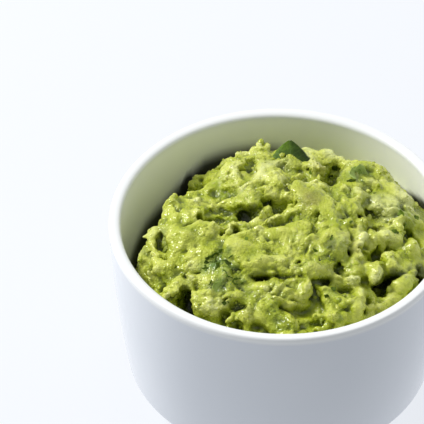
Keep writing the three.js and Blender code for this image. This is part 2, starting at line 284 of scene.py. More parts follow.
def on_heap(px, py):
    """The point of the heap's plain surface behind a pixel."""
    d = FWD + RIGHT * (px - IMAGE / 2) / FOCAL - UP * (py - IMAGE / 2) / FOCAL
    d /= np.linalg.norm(d)
    t = np.arange(760.0, 960.0, 0.05)
    p = CAM + t[:, None] * d
    inside = (p[:, 2] < heap_height(p[:, 0], p[:, 1])) & (np.hypot(p[:, 0], p[:, 1]) < 50)
    return p[np.argmax(inside)]


PX = 3.29                          # pixels per millimetre across the heap

# lumps: pixel x, y, half width, half height (pixels), how far they stand out (mm),
# tilt (degrees, rising to the right), tone (-1 deep green .. 1 cream), smoothness 0..1
LUMPS = [
    (171, 207, 6, 3.2, 1.6, 8, 0.3, 0.3), (168, 212, 6.5, 2.8, 1.6, 2, 0.3, 0.3), (181, 196, 12, 3.6, 1.4, 40, 0.0, 0.3),
    (197, 182, 4, 3.2, 1.4, 0, 0.0, 0.2), (208, 184, 9, 2.8, 1.0, 8, 0.2, 0.2), (198, 197, 8, 6, 1.3, 10, 0.5, 0.2),
    (212, 198, 7, 6, 1.5, 0, 0.6, 0.4), (213, 189, 9, 3.6, 1.2, -8, 0.5, 0.5), (232, 178, 13, 4.2, 1.2, 8, 0.6, 0.6),
    (244, 164, 13, 5.5, 1.6, 32, 0.3, 0.4), (257, 148, 6, 8.5, 2.6, -12, 0.4, 0.3), (264.5, 144, 3.4, 4.2, 2.2, -10, 0.5, 0.3),
    (262, 157, 7, 4, 1.4, 0, 0.5, 0.1), (273, 171, 15, 12, 2.2, 12, 1.0, 0.9), (291, 161, 17, 4.2, 1.4, -4, 0.2, 0.2),
    (318, 151, 18, 6, 2.2, -4, 0.5, 0.8), (299, 173, 8, 7.5, 1.2, 0, 0.4, 0.1), (317, 165, 9, 5, 1.2, -10, 0.4, 0.1),
    (330, 166, 4.6, 5.2, 1.6, 0, 0.4, 0.6), (347, 166, 9, 5, 1.4, -20, 0.0, 0.2), (349, 174, 9, 5.5, 1.4, 5, -0.1, 0.4),
    (362, 173, 9, 5.5, 1.8, 30, 0.2, 0.6), (373, 187, 7.5, 4.4, 1.4, 8, 0.2, 0.6), (392, 190, 8, 5, 1.4, -30, 0.0, 0.5),
    (402, 197, 12, 6.5, 1.4, -28, 0.2, 0.5), (299, 193, 6.5, 8, 3.2, 30, 0.4, 0.6), (308, 187, 9, 5, 3.2, 8, 0.2, 0.5), (321, 190, 9, 5, 3.0, -12, 0.1, 0.4),
    (329, 199, 5, 8, 2.6, 0, 0.2, 0.4), (301, 207, 5, 7, 2.4, 0, 0.1, 0.2), (324, 213, 4.5, 8, 2.4, -30, 0.3, 0.5), (312, 198, 12, 9, 1.2, 0, 0.0, 0.6),
    (338, 195, 13, 5.5, 1.4, -8, 0.0, 0.5), (359, 198, 9, 7, 1.8, 12, 0.4, 0.8), (380, 204, 14, 9, 1.8, 0, 0.2, 0.7),
    (351, 206, 9, 6.5, 1.0, -10, -0.2, 0.5),
    (155, 237, 7, 9.5, 2.2, -10, 0.3, 0.8), (155, 252, 6, 5, 1.2, 0, 0.2, 0.0), (156, 262, 5.5, 6, 1.2, 0, 0.2, 0.1),
    (146, 256, 3, 2.6, 1.2, 30, -0.2, 0.1), (171, 222, 15, 4.2, 1.8, 36, 0.6, 0.1), (193, 212, 9, 7, 1.4, 10, 0.5, 0.0),
    (204, 212, 5.5, 8, 1.2, 0, -0.3, 0.7), (203, 227, 5.4, 6.5, 1.8, 0, 0.2, 0.8), (176, 242, 4.6, 17, 1.4, 4, 0.1, 0.2),
    (213, 232, 10, 10, 1.4, 20, 0.4, 0.0), (195, 240, 13, 8, 1.0, 10, 0.4, 0.0), (200, 252, 15, 6, 1.0, 8, 0.3, 0.0),
    (170, 266, 12, 9, 1.6, 0, 0.3, 0.1), (152, 276, 9, 6, 1.4, -20, 0.3, 0.2), (191, 264, 8, 5, 1.0, 0, 0.1, 0.0),
    (264, 212, 5, 13, 1.8, -32, 0.2, 0.6), (273, 218, 5, 11, 1.6, -34, 0.3, 0.4), (285.5, 211, 7, 11.5, 2.2, -8, 0.4, 0.8),
    (296, 232, 11, 3.2, 1.8, 40, 0.2, 0.6), (277, 236, 17, 5.5, 1.6, -2, -0.2, 0.9),
    (234, 224, 8, 5.0, 1.2, 0, 0.0, 0.6), (226, 233, 4, 8, 1.2, -28, 0.5, 0.1), (240, 239, 8, 3.2, 1.2, 8, 0.4, 0.6),
    (240, 252, 14, 7.5, 2.2, -2, 0.4, 0.7), (268, 263, 24, 7.5, 2.2, 0, 0.4, 0.6), (284.5, 249, 6, 9.5, 2.0, 0, 0.6, 0.4),
    (293, 255, 4, 5, 1.6, 0, 0.5, 0.3), (304, 257, 6.5, 8, 1.2, 0, -0.1, 0.1), (306, 243, 8, 6, 1.4, 10, 0.1, 0.1),
    (315, 271, 22, 8, 1.8, 2, 0.3, 0.3), (340, 243, 7.5, 11, 2.0, 6, 0.6, 0.7), (357, 238, 7, 10, 1.8, 8, 0.4, 0.4),
    (338, 216, 6, 3, 1.8, 52, 0.3, 0.5), (353, 227, 9, 3.2, 1.4, 22, 0.2, 0.5), (386, 239, 16, 7.2, 2.6, 6, 0.6, 0.9),
    (383, 254, 7.5, 4, 1.6, 12, 0.3, 0.5), (392, 263, 10, 9, 1.8, -20, -0.1, 0.9), (416, 252, 9, 9, 2.0, 0, 0.3, 0.5),
    (376, 272, 7.6, 11, 2.4, -6, 0.3, 0.9), (406, 285, 9.5, 16, 2.4, -22, 0.1, 0.9), (401, 284, 4, 9, 3.0, -12, 0.4, 0.6),
    (357, 264, 9, 13, 1.6, -18, 0.3, 0.3), (350, 282, 13, 6.5, 1.8, 4, 0.4, 0.5), (357, 304, 6.5, 14, 1.8, -12, 0.2, 0.6),
    (376, 307, 11, 6.5, 1.6, 6, 0.0, 0.8), (331, 300, 10, 9, 1.2, 0, 0.1, 0.0), (318, 306, 3.4, 4.4, 1.4, 40, 0.4, 0.7),
    (315, 316, 12, 4.2, 1.6, 14, 0.2, 0.3), (336, 320, 9, 8.5, 2.0, 0, 0.2, 0.7), (322, 330, 15, 2.8, 1.6, 8, 0.0, 0.7),
    (302, 291, 13, 7.5, 1.4, 0, 0.3, 0.0), (287, 304, 10, 5, 1.6, 8, 0.2, 0.3), (281, 289, 12, 6, 1.2, 0, 0.2, 0.3),
    (288, 323, 9, 7, 1.6, -30, 0.0, 0.4), (262, 303, 8, 13, 1.8, 0, 0.2, 0.3), (277, 312, 8, 8, 1.0, 0, -0.2, 0.2),
    (233, 296, 15, 4.2, 1.8, 6, 0.0, 0.4), (249, 306, 6.5, 9, 1.4, 0, 0.0, 0.2), (195, 300, 5.4, 11, 1.8, 4, 0.2, 0.8),
    (205, 312, 8, 7, 1.6, 0, 0.2, 0.2), (215, 313, 4, 4, 1.4, 0, 0.2, 0.2), (173, 294, 6.5, 9, 1.6, -20, 0.2, 0.5),
    (206, 290, 9, 6.5, 1.4, 10, 0.2, 0.2), (222, 284, 11, 6.5, 1.0, 0, -0.5, 0.9), (246, 317, 7, 7, 1.2, 0, 0.0, 0.2),
    (228, 322, 6, 5, 1.4, 0, 0.1, 0.2), (247, 184, 14, 3, 1.0, 4, 0.6, 0.5), (230, 193, 9, 3.2, 1.2, 4, 0.6, 0.6),
    (250, 194, 12, 5, 1.0, -4, 0.3, 0.2), (270, 189, 15, 3.4, 1.4, 4, 0.3, 0.3), (222, 208, 5, 3, 1.2, 10, -0.2, 0.4),
    (318, 209, 3.2, 8.5, 1.4, -42, 0.2, 0.9), (330, 227, 8, 10, 1.0, 0, 0.3, 0.2), (365, 222, 8, 5, 1.2, 20, 0.4, 0.2),
    (400, 226, 5, 9, 1.4, 10, 0.3, 0.1), (412, 218, 9, 9, 1.0, 0, 0.1, 0.5), (258, 236, 6, 8, 1.2, 0, 0.4, 0.2),
    (268, 246, 9, 5, 1.0, 0, 0.2, 0.0), (252, 254, 6, 4, 1.0, 0, 0.2, 0.1), (190, 279, 8, 5, 1.0, 0, 0.1, 0.0),
    (180, 286, 5, 9, 1.2, 0, 0.1, 0.4), (371, 241, 5, 5, 1.4, 0, 0.2, 0.4), (361, 252, 4, 8, 1.4, -8, 0.3, 0.4),
]

# lumps that stand over the back edge: place, half sizes across, deep and high (mm), tone, smoothness
PEAKS = [
    ((3.4, 24.4, 68.1), (8.8, 3.2, 2.5), 0.2, 0.2), ((9.0, 27.2, 67.2), (3.4, 3.2, 2.2), 0.4, 0.3), ((11.5, 30.4, 65.7), (8.0, 4.2, 2.4), 0.5, 0.5),
    ((-11.0, 30.0, 64.0), (5.4, 4.4, 2.6), 0.2, 0.2), ((20.0, 28.5, 64.6), (6.0, 4.0, 2.4), 0.1, 0.3),
    ((-9.4, 33.0, 65.2), (2.4, 3.2, 2.4), 0.4, 0.3), ((-7.2, 34.2, 66.6), (2.0, 2.6, 3.0), 0.5, 0.2),
    ((-5.2, 34.0, 66.6), (1.7, 2.2, 1.9), 0.4, 0.4), ((-13.6, 31.8, 63.8), (3.0, 3.0, 2.0), 0.2, 0.3),
    ((8.2, 33.2, 66.4), (3.4, 3.4, 1.8), 0.6, 0.7), ((13.4, 32.8, 66.2), (4.6, 4.0, 2.6), 0.6, 0.8),
    ((18.4, 31.4, 65.4), (3.4, 3.4, 2.2), 0.4, 0.5), ((22.6, 29.8, 64.8), (2.6, 2.6, 1.9), 0.2, 0.3),
    ((-21.5, 33.0, 55.0), (3.4, 3.0, 2.6), -0.3, 0.1), ((-26.5, 30.0, 52.5), (3.2, 3.0, 2.6), -0.3, 0.1),
    ((-24.0, 35.5, 50.5), (3.0, 3.0, 2.4), -0.3, 0.1), ((-16.5, 36.5, 56.0), (3.0, 2.6, 2.4), -0.2, 0.2),
    ((-31.5, 26.5, 50.0), (2.8, 3.2, 2.6), -0.3, 0.1), ((-20.5, 38.5, 51.5), (2.4, 2.2, 2.0), -0.3, 0.2),
]

# hollows: pixel x, y, half width, half height (pixels), depth (mm), tilt
HOLLOWS = [
    (162, 237, 3.4, 7, 2.6, -12), (168, 250, 3.2, 7, 2.8, -10), (190, 227, 10, 4.2, 3.4, 4), (170.5, 234.5, 2.2, 1.8, 1.6, 0), (198, 216, 2.6, 2.6, 2.2, 0),
    (215, 217, 9, 3, 3.4, 4), (231, 203, 9, 4.6, 4.6, -16), (247, 208.5, 11, 5, 8.5, -5), (246, 217, 3.5, 6, 5.5, -30),
    (247.5, 228, 1.1, 5.5, 3.0, -32), (237, 232.5, 5.6, 4.2, 4.2, 0), (229, 187, 6.5, 1.8, 1.6, 6), (253, 165, 7, 2.4, 1.5, 26),
    (266.5, 149, 2.6, 3.2, 1.6, 0), (282, 163, 4, 1.8, 1.2, 0), (292, 184, 6.5, 6.5, 4.6, 0), (292, 190, 2.4, 3, 3.0, 0),
    (309, 176, 3.2, 8, 2.4, -42), (313, 182, 3, 3, 2.6, 0), (335, 173, 5.2, 10, 6.5, -16), (333, 181, 5, 2, 3.2, 8),
    (347, 181, 7, 1.4, 2.2, 6), (350, 194, 3.6, 5.4, 3.4, 8), (381, 190, 2.6, 6.5, 3.0, 0), (386, 196, 6, 1.2, 2.0, -24),
    (374, 193, 6, 1.6, 1.6, -14), (279, 202, 6, 5.5, 5.2, 0), (270, 198, 11, 3, 2.8, 2), (290, 197, 6, 2, 2.2, 16),
    (336, 207, 4, 5.5, 2.8, -24), (358, 212, 3.6, 6.5, 2.4, 0), (344, 222, 5, 4.4, 5.0, 20), (376, 228, 7.5, 4.8, 5.4, 0),
    (275, 226, 5.4, 4.4, 3.8, 20), (289, 223, 5, 4.4, 3.6, 30), (228, 261.5, 7, 1.9, 3.2, -22), (208, 259, 4.5, 1.1, 2.4, 16),
    (259, 277, 8.6, 4.2, 5.2, -6), (266, 280, 4, 3, 4.0, -40), (279, 277.5, 9, 2.1, 4.6, 4), (313, 258, 2.2, 6.8, 4.2, -18),
    (303, 267, 5.5, 1.8, 2.4, 0), (329, 248, 6.2, 6.2, 5.4, 30), (337, 270, 5.6, 7.5, 4.0, 0), (330, 282, 4.6, 6, 4.6, -20),
    (318, 293, 2.8, 9.5, 5.0, 4), (346, 293, 6.4, 3.8, 4.0, 4), (347, 303, 4, 4, 2.8, 0), (350, 253, 5, 4.6, 2.8, 20),
    (351, 243, 3, 4, 2.0, 0), (376, 249, 5, 3, 3.2, 0), (373, 256, 5, 3.2, 3.2, 0), (377, 261, 8, 1.1, 3.0, -4),
    (384, 263, 4, 1.6, 3.0, -44), (395, 251, 7, 1.1, 2.6, -14), (404, 248, 4, 3, 3.4, 0), (406, 266, 3.2, 2.4, 5.0, 0),
    (392, 278, 12, 3.6, 8.0, 40), (379, 288, 4, 3.6, 7.0, 0), (420, 275, 6.5, 9, 12.0, 0), (186, 299, 3.6, 9, 7.5, 0),
    (223, 315, 5.4, 3.8, 4.6, 0), (235, 307, 9.5, 5, 3.8, 4), (210, 298, 7, 1.4, 1.8, -6), (213, 305, 3.6, 2.8, 2.2, 0),
    (260, 324, 6, 3.2, 4.8, -6), (268, 330, 3, 4.4, 4.6, 10), (235, 325, 4.5, 3, 2.6, 0), (304, 308, 7.4, 5.4, 3.8, 0),
    (304, 317, 3, 4, 3.0, 0), (313, 325, 9, 2, 4.4, 12), (303, 328, 4, 2.6, 3.4, 20), (284, 310, 7.5, 1.3, 2.4, -24),
    (275, 298, 4.4, 1.3, 1.4, 0), (345, 318, 2.6, 4.6, 3.4, -10), (365, 302, 3.2, 6, 3.6, -16), (362, 313, 3, 3.6, 3.0, 0),
    (187, 276, 1.4, 5.4, 2.2, -14), (197, 271, 7, 2.6, 1.8, -4), (165, 286, 5, 4.4, 1.6, 30), (193, 286, 2.6, 5, 1.6, 8),
    (250.5, 243, 1.6, 6, 2.2, 0), (222, 233, 2.2, 6.5, 1.4, -34), (393, 212, 3, 3.6, 2.4, -20), (388, 219, 5, 1.2, 1.8, -10),
    (411, 230, 2.6, 2.6, 2.2, 0), (415, 238, 5.5, 4, 2.6, -30), (398, 227, 1.6, 3, 1.6, 20), (313, 203, 8, 7, 3.4, -20),
    (319, 219, 4.4, 8, 2.4, -10), (342, 230, 5, 1.4, 1.4, 0), (357, 225, 5, 1.2, 1.4, 20), (163, 258, 1.6, 5, 1.6, 10),
    (300, 203, 2, 5, 1.2, -20), (324, 234, 4, 1, 1.4, 20), (363, 237, 1.4, 4, 1.6, -8), (258, 205, 4, 3, 1.8, 20),
    (241, 203, 7, 4, 2.2, -30), (220, 185, 2.4, 2, 1.2, 0), (228, 252, 3, 1.5, 1.4, 0), (297, 263, 4, 3, 2.2, 30),
    (340, 260, 3, 6, 2.0, 0), (367, 282, 3, 7, 2.0, 0), (296, 314, 3, 6, 2.2, 10), (182, 250, 1.4, 3, 1.4, 0),
    (312, 237, 1.6, 4, 1.6, 30), (384, 292, 5, 4, 3.0, 0), (222, 302, 3, 3, 2.4, 0),
]


def laid(px, py, hw, hh, tilt):
    """A blob of that size in the picture, laid on the heap: its place, axes and half sizes."""
    p = on_heap(px, py)
    n = heap_normal(p[0], p[1])
    x = RIGHT - n * (RIGHT @ n)
    x /= np.linalg.norm(x)
    y = np.cross(n, x)
    fx, fy = 3.29, 3.29 * max(abs(FWD @ n), 0.45) + 0.25
    t = math.radians(tilt)
    a = x * math.cos(t) / fx + y * math.sin(t) / fy
    b = -x * math.sin(t) / fx + y * math.cos(t) / fy
    ra, rb = hw * np.linalg.norm(a), hh * np.linalg.norm(b)
    a /= np.linalg.norm(a)
    b = np.cross(n, a)
    return p, a, b, n, ra, rb


BITS = [(7, 2.9, 1.85, 1.2), (8, 1.65, 0.95, 0.9), (9, 0.95, 0.31, 0.6)]   # seed, size and height in mm, warp
ADAPT = 0.02
H = 0.385                          # voxel of the mash, mm
LOW, HIGH = np.array([-49.6, -49.6, 36.4]), np.array([49.6, 49.6, 74.4])
shape = np.ceil((HIGH - LOW) / H).astype(int) + 1
gx, gy, gz = (LOW[i] + H * np.arange(shape[i]) for i in range(3))
hx, hy = np.meshgrid(gx, gy, indexing="ij")


def spline_noise(seed, size, squash=1.0):
    """Smooth noise of unit spread over the whole grid, from a random lattice of that spacing."""
    r = np.random.default_rng(seed)
    weights, counts = [], []
    for axis, c in enumerate((gx, gy, gz)):
        t = (c - LOW[axis]) / (size * (squash if axis == 2 else 1.0)) + 0.31 * axis
        i = np.floor(t).astype(int)
        f = t - i
        n = i.max() + 4
        w = np.zeros((len(c), n), np.float32)
        rows = np.arange(len(c))
        w[rows, i] = (1 - f) ** 3 / 6
        w[rows, i + 1] = (3 * f ** 3 - 6 * f ** 2 + 4) / 6
        w[rows, i + 2] = (-3 * f ** 3 + 3 * f ** 2 + 3 * f + 1) / 6
        w[rows, i + 3] = f ** 3 / 6
        weights.append(w)
        counts.append(n)
    v = r.normal(size=counts).astype(np.float32)
    v = np.tensordot(weights[0], v, (1, 0))
    v = np.tensordot(weights[1], v, (1, 1)).transpose(1, 0, 2)
    v = np.tensordot(weights[2], v, (1, 2)).transpose(1, 2, 0)
    return (v / v.std()).astype(np.float32)


base = heap_height(hx, hy) - 0.5
height = np.where(np.hypot(hx, hy) > 50, base.min(), base).astype(np.float32)
sx, sy = np.gradient(height, H)
steep = np.sqrt(1 + np.minimum(sx * sx + sy * sy, 9.0))
field = ((gz[None, None, :] - height[:, :, None]) / steep[:, :, None]).astype(np.float32)
rough = np.full(shape, 0.6, np.float32)   # how strong the fine relief is
tone = np.zeros(shape, np.float32)
# painted shade: how dark the deep hollows are painted
pit_shade = np.zeros(shape, np.float32)       # how dark the pits are
bend = np.stack([0.50 * spline_noise(31 + k, 3.4) + 0.13 * spline_noise(41 + k, 1.5) for k in range(3)], -1)


def local(p, reach, bent=1.0):
    lo = np.maximum(np.floor((p - reach - LOW) / H).astype(int), 0)
    hi = np.minimum(np.ceil((p + reach - LOW) / H).astype(int) + 1, shape)
    s = tuple(slice(a, b) for a, b in zip(lo, hi))
    q = np.stack(np.meshgrid(gx[s[0]] - p[0], gy[s[1]] - p[1], gz[s[2]] - p[2], indexing="ij"), -1)
    return s, q.astype(np.float32) + bend[s] * bent


def smooth_min(a, b, k):
    h = np.clip(0.5 + 0.5 * (b - a) / k, 0, 1)
    return mix(b, a, h) - k * h * (1 - h)


def box_blur(vol, n):
    for axis in range(3):
        pad = [(0, 0)] * 3
        pad[axis] = (n + 1, n)
        c = np.cumsum(np.pad(vol, pad, mode="edge"), axis=axis, dtype=np.float64)
        m = vol.shape[axis]
        hi = np.take(c, np.arange(2 * n + 1, 2 * n + 1 + m), axis=axis)
        lo = np.take(c, np.arange(0, m), axis=axis)
        vol = ((hi - lo) / (2 * n + 1)).astype(np.float32)
    return vol


def ellipsoid(q, a, b, c, ra, rb, rc):
    u, v, w = q @ (a / ra), q @ (b / rb), q @ (c / rc)
    k0 = np.sqrt(u * u + v * v + w * w)
    k1 = np.sqrt((u / ra) ** 2 + (v / rb) ** 2 + (w / rc) ** 2) + 1e-6
    return k0 * (k0 - 1) / k1, k0


g = np.random.default_rng(11)
# smeared ridges of every size that fill in between the placed ones
for i in range(150):
    r = 47.0 * math.sqrt((i + 0.5) / 150)
    phi = i * 2.399963 + g.uniform(-0.3, 0.3)
    x, y = r * math.cos(phi), r * math.sin(phi)
    if r > 46.5:
        continue
    z = float(heap_height(np.array([x]), np.array([y]))[0]) - 0.7
    n = heap_normal(x, y)
    ra = g.uniform(1.6, 4.6)
    rb, rc = g.uniform(0.9, 1.9), g.uniform(1.0, 2.2)
    lay = g.normal(0.3, 0.7)
    a = np.array([math.cos(lay), math.sin(lay), 0.0])
    a -= n * (a @ n)
    a /= np.linalg.norm(a)
    p = np.array([x, y, z]) - n * (rc - g.uniform(0.3, 1.2))
    s, q = local(p, ra * 1.4 + 2.5)
    d, k0 = ellipsoid(q, a, np.cross(n, a), n, ra, rb, rc)
    field[s] = smooth_min(field[s], d, 0.8)
    near = np.clip((1.5 - k0) / 0.6, 0, 1)
    tone[s] = mix(tone[s], g.uniform(-0.5, 0.5), near)
    rough[s] = mix(rough[s], g.uniform(0.2, 1.0), near)

def hollow(px, py, hw, hh, depth, tilt, size, bent):
    p, a, b, n, ra, rb = laid(px, py, hw, hh, tilt)
    c = n * 0.8 - FWD * 0.2
    c /= np.linalg.norm(c)
    a = a - c * (a @ c)
    a /= np.linalg.norm(a)
    rc = depth if depth > 5 else min(depth * 1.1, 1.4 * min(ra, rb) + 0.6)
    s, q = local(p - n * 0.2, max(ra, rb, rc) * 1.4 + 3, bent)
    d, k0 = ellipsoid(q, a, np.cross(c, a), c, ra * size, rb * size, rc)
    field[s] = -smooth_min(-field[s], d, min(1.5, 0.5 + 0.16 * depth))
    # the second pass paints shade into the deeper hollows
    if bent > 1.05:
        pit_shade[s] = np.maximum(pit_shade[s], smoothstep((1.7 - k0) / 0.6) * np.clip((depth - 1.8) / 5.2, 0, 1))


for spec in HOLLOWS:
    hollow(*spec, 1.05, 1.0)

for px, py, hw, hh, up, tilt, tn, sm in LUMPS:
    p, a, b, n, ra, rb = laid(px, py, hw, hh, tilt)
    ra, rb = ra * 1.2, rb * 1.2
    rc = min((up * 0.95 + 0.35) / 0.6, 1.2 * min(ra, rb) + 0.5)
    s, q = local(p - n * 0.4 * rc, max(ra, rb, rc) * 1.45 + 3.5, 1.15)
    d, k0 = ellipsoid(q, a, b, n, ra, rb, rc)
    field[s] = smooth_min(field[s], d, 1.3)
    near = np.clip((1.4 - k0) / 0.5, 0, 1)
    tone[s] = mix(tone[s], tn, near)
    rough[s] = mix(rough[s], 1.1 - 0.6 * sm, near)

for at, (rx, ry, rz), tn, sm in PEAKS:
    p = np.array(at)
    s, q = local(p, max(rx, ry, rz) * 1.45 + 3, 0.7)
    d, k0 = ellipsoid(q, np.array([1.0, 0, 0]), np.array([0, 1.0, 0]), np.array([0, 0, 1.0]), rx, ry, rz)
    field[s] = smooth_min(field[s], d, 1.2)
    near = np.clip((1.4 - k0) / 0.5, 0, 1)
    tone[s] = mix(tone[s], tn, near)
    rough[s] = mix(rough[s], 1.1 - sm, near)

for spec in HOLLOWS:
    hollow(*spec, 0.8 if spec[4] < 6 else 1.0, 1.1)

# a crevice runs down along the wall at the left and the back left
rr = np.hypot(hx, hy)
around = np.degrees(np.arctan2(hy, hx)) % 360
opened = smoothstep((around - 112) / 22) * smoothstep((186 - around) / 12)
crevice = (inner_radius(gz)[None, None, :] - rr[:, :, None]) - (3.4 * opened)[:, :, None]
crevice = np.maximum(crevice, (38.4 - gz)[None, None, :]) + 0.5 * bend[..., 0]
crevice = np.where(opened[:, :, None] > 0.02, crevice, 3.0)
field = -smooth_min(-field, crevice.astype(np.float32), 1.5)

# the mash is soft: its ridges are rounded, its creases stay narrow
field = np.maximum(field, box_blur(np.clip(field, -4, 4), 2))

# relief: soft swellings, then rounded bits of three sizes with creases between them
f7, f5, f26, f13 = spline_noise(60, 5.5), spline_noise(61, 2.6), spline_noise(62, 1.45), spline_noise(63, 0.8)
field -= 0.15 + 0.55 * spline_noise(59, 9.0) + 0.70 * f7 + 0.22 * (np.sqrt(f5 * f5 + 0.06) - 0.8)
band = np.abs(field) < 1.9
idx = np.argwhere(band)
P = (LOW + idx * H).astype(np.float32)
amp = np.clip(0.25 + 0.75 * rough[band] + 0.25 * spline_noise(71, 4.0)[band], 0.2, 1.1)
bent = bend[band] + 0.0
flow = np.stack([spline_noise(91 + k, 8.0)[band] for k in range(3)], -1) * 0.9
relief = np.zeros(len(P), np.float32)
crumb_ = np.zeros(len(P), np.float32)
for seed, size, tall, warp in BITS:
    c3, id3 = CellNoise(seed)(P + bent * warp + flow, size)
    bump = 0.9 * (np.mean(c3 ** 2) - c3 ** 2)
    relief += tall * bump * amp
    crumb_ += (id3 - 0.25) * amp * (1.0 if size > 1 else 0.6)
relief += (0.10 * (np.sqrt(f26[band] ** 2 + 0.04) - 0.8) + 0.07 * f13[band]) * (0.4 + 0.6 * amp)
field[band] -= relief
crumb = np.zeros(shape, np.float32)
crumb[band] = crumb_

# it stays inside the solid's own height
top = np.broadcast_to(0.8 * (gz - 73.25)[None, None, :], field.shape).astype(np.float32)
field = -smooth_min(-field, -top, 0.5)

# the bowl's wall bounds the mash
wall = rr[:, :, None] - (inner_radius(gz)[None, None, :] - 0.25)
field = np.maximum(field, wall.astype(np.float32))
field = np.maximum(field, (37.4 - gz)[None, None, :].astype(np.float32))

def skin(beyond):
    """The mash's surface on one side of a wavy upright cut, as one closed body."""
    grid = vdb.FloatGrid(3.0)
    grid.copyFromArray(np.clip(np.maximum(field, beyond), -2.5, 2.5).astype(np.float32))
    pts, tris, quads = grid.convertToPolygons(isovalue=0.0, adaptivity=ADAPT)
    pts = np.asarray(pts, dtype=float) * H + LOW
    quads = np.asarray(quads, dtype=np.int64)
    tris = np.asarray(tris, dtype=np.int64)
    # keep the one large body
    label = np.arange(len(pts))
    e0 = np.concatenate([quads[:, k] for k in range(4)] + [tris[:, k] for k in range(3)])
    e1 = np.concatenate([quads[:, (k + 1) % 4] for k in range(4)] + [tris[:, (k + 1) % 3] for k in range(3)])
    for _ in range(200):
        m = np.minimum(label[e0], label[e1])
        new = label.copy()
        np.minimum.at(new, e0, m)
        np.minimum.at(new, e1, m)
        new = new[new]
        if (new == label).all():
            break
        label = new
    root, count = np.unique(label, return_counts=True)
    keep = label == root[np.argmax(count)]
    remap = np.cumsum(keep) - 1
    quads = remap[quads[keep[quads[:, 0]]]]
    tris = remap[tris[keep[tris[:, 0]]]]
    pts = pts[keep]
    every = np.concatenate([quads[:, [0, 1, 2]], quads[:, [0, 2, 3]], tris])
    t3 = pts[every]
    if np.einsum("ij,ij->i", t3[:, 0], np.cross(t3[:, 1], t3[:, 2])).sum() < 0:
        quads, tris, t3 = quads[:, ::-1], tris[:, ::-1], t3[:, ::-1]
    return pts, quads, tris, t3


seam = 1.5 + 2.0 * np.sin(gx * 0.13) + 0.8 * np.sin(gx * 0.41 + 1)
across = (gy[None, :, None] - seam[:, None, None]).astype(np.float32)
front = skin(across - 0.4)
back = skin(-0.4 - across)
t3 = np.concatenate([front[3], back[3]])


# stained places: pixel x, y, half width, half height, tilt, how brown, how herb-green (blue-green), how pale
STAINS = [
    (312, 204, 12, 9, 0, 0.85, 0.0, 0.0), (322, 195, 8, 6, 0, 0.4, 0.0, 0.0), (303, 196, 7, 7, 0, 0.4, 0.0, 0.0), (300, 172, 8, 8, 0, 0.4, 0.0, 0.1),
    (318, 166, 9, 5, 0, 0.45, 0.0, 0.0), (155, 253, 8, 8, 0, 0.55, 0.0, 0.0), (171, 262, 8, 6, 0, 0.25, 0.0, 0.0),
    (222, 286, 14, 8, 5, 0.0, 0.75, 0.3), (217, 262, 11, 9, 40, 0.0, 1.0, 0.0), (228, 272, 12, 8, 0, 0.0, 0.6, 0.0),
    (236, 281, 8, 5, 0, 0.0, 0.8, 0.0), (205, 268, 8, 8, 0, 0.0, 0.5, 0.0), (229, 257, 6, 4, 0, 0.0, 0.7, 0.0),
    (356, 181, 11, 5, -20, 0.0, 0.5, 0.2), (366, 180, 6, 9, 0, 0.0, 0.4, 0.0), (334, 173, 6, 10, -10, 0.0, 0.7, 0.0),
    (402, 222, 9, 14, 20, 0.0, 0.55, 0.0), (394, 234, 7, 6, 0, 0.0, 0.4, 0.0), (412, 232, 7, 8, 0, 0.0, 0.4, 0.0),
    (338, 248, 9, 9, 0, 0.0, 0.35, 0.0), (333, 291, 9, 9, 0, 0.1, 0.4, 0.0), (296, 241, 8, 5, 0, 0.0, 0.3, 0.0),
    (184, 300, 7, 8, 0, 0.0, 0.4, 0.0), (225, 302, 12, 5, 0, 0.25, 0.3, 0.0), (245, 310, 10, 6, 0, 0.3, 0.2, 0.0),
    (290, 308, 8, 6, 0, 0.35, 0.0, 0.0), (356, 248, 5, 9, 0, 0.3, 0.0, 0.1), (199, 161, 10, 7, 0, 0.0, 0.5, 0.0),
    (276, 168, 17, 9, 10, 0.0, 0.0, 1.0), (262, 176, 10, 6, 10, 0.0, 0.0, 0.7), (240, 188, 14, 5, 0, 0.0, 0.0, 0.5),
    (214, 192, 9, 4, 0, 0.0, 0.0, 0.5), (317, 150, 17, 4, 0, 0.0, 0.0, 0.5), (386, 239, 14, 6, 0, 0.0, 0.0, 0.35),
    (402, 282, 3, 9, -12, 0.0, 0.0, 0.7), (342, 241, 7, 9, 0, 0.0, 0.0, 0.4), (266, 262, 20, 5, 0, 0.0, 0.0, 0.25),
    (305, 271, 12, 6, 0, 0.0, 0.2, 0.2), (350, 283, 10, 5, 0, 0.0, 0.0, 0.4), (205, 200, 10, 4, 0, 0.0, 0.0, 0.3),
    (382, 209, 20, 13, 0, 0.0, 0.0, 0.9), (405, 204, 14, 12, 0, 0.0, 0.0, 0.9), (262, 292, 28, 8, 0, 0.0, 0.0, 0.5),
    (160, 238, 11, 13, 0, 0.6, 0.6, 0.0), (148, 250, 8, 12, 0, 0.5, 0.4, 0.0), (345, 196, 12, 7, 0, 0.0, 0.3, 0.0),
]


def stained(q):
    """How brown, herb-green and pale each point is."""
    out = np.zeros((len(q), 3))
    for px, py, hw, hh, tilt, *much in STAINS:
        p, a, b, n, ra, rb = laid(px, py, hw, hh, tilt)
        e = q - p
        d2 = ((e @ a) / ra) ** 2 + ((e @ b) / rb) ** 2 + ((e @ n) / 6.0) ** 2
        out = np.maximum(out, np.exp(-d2 * d2)[:, None] * np.array(much))
    return out


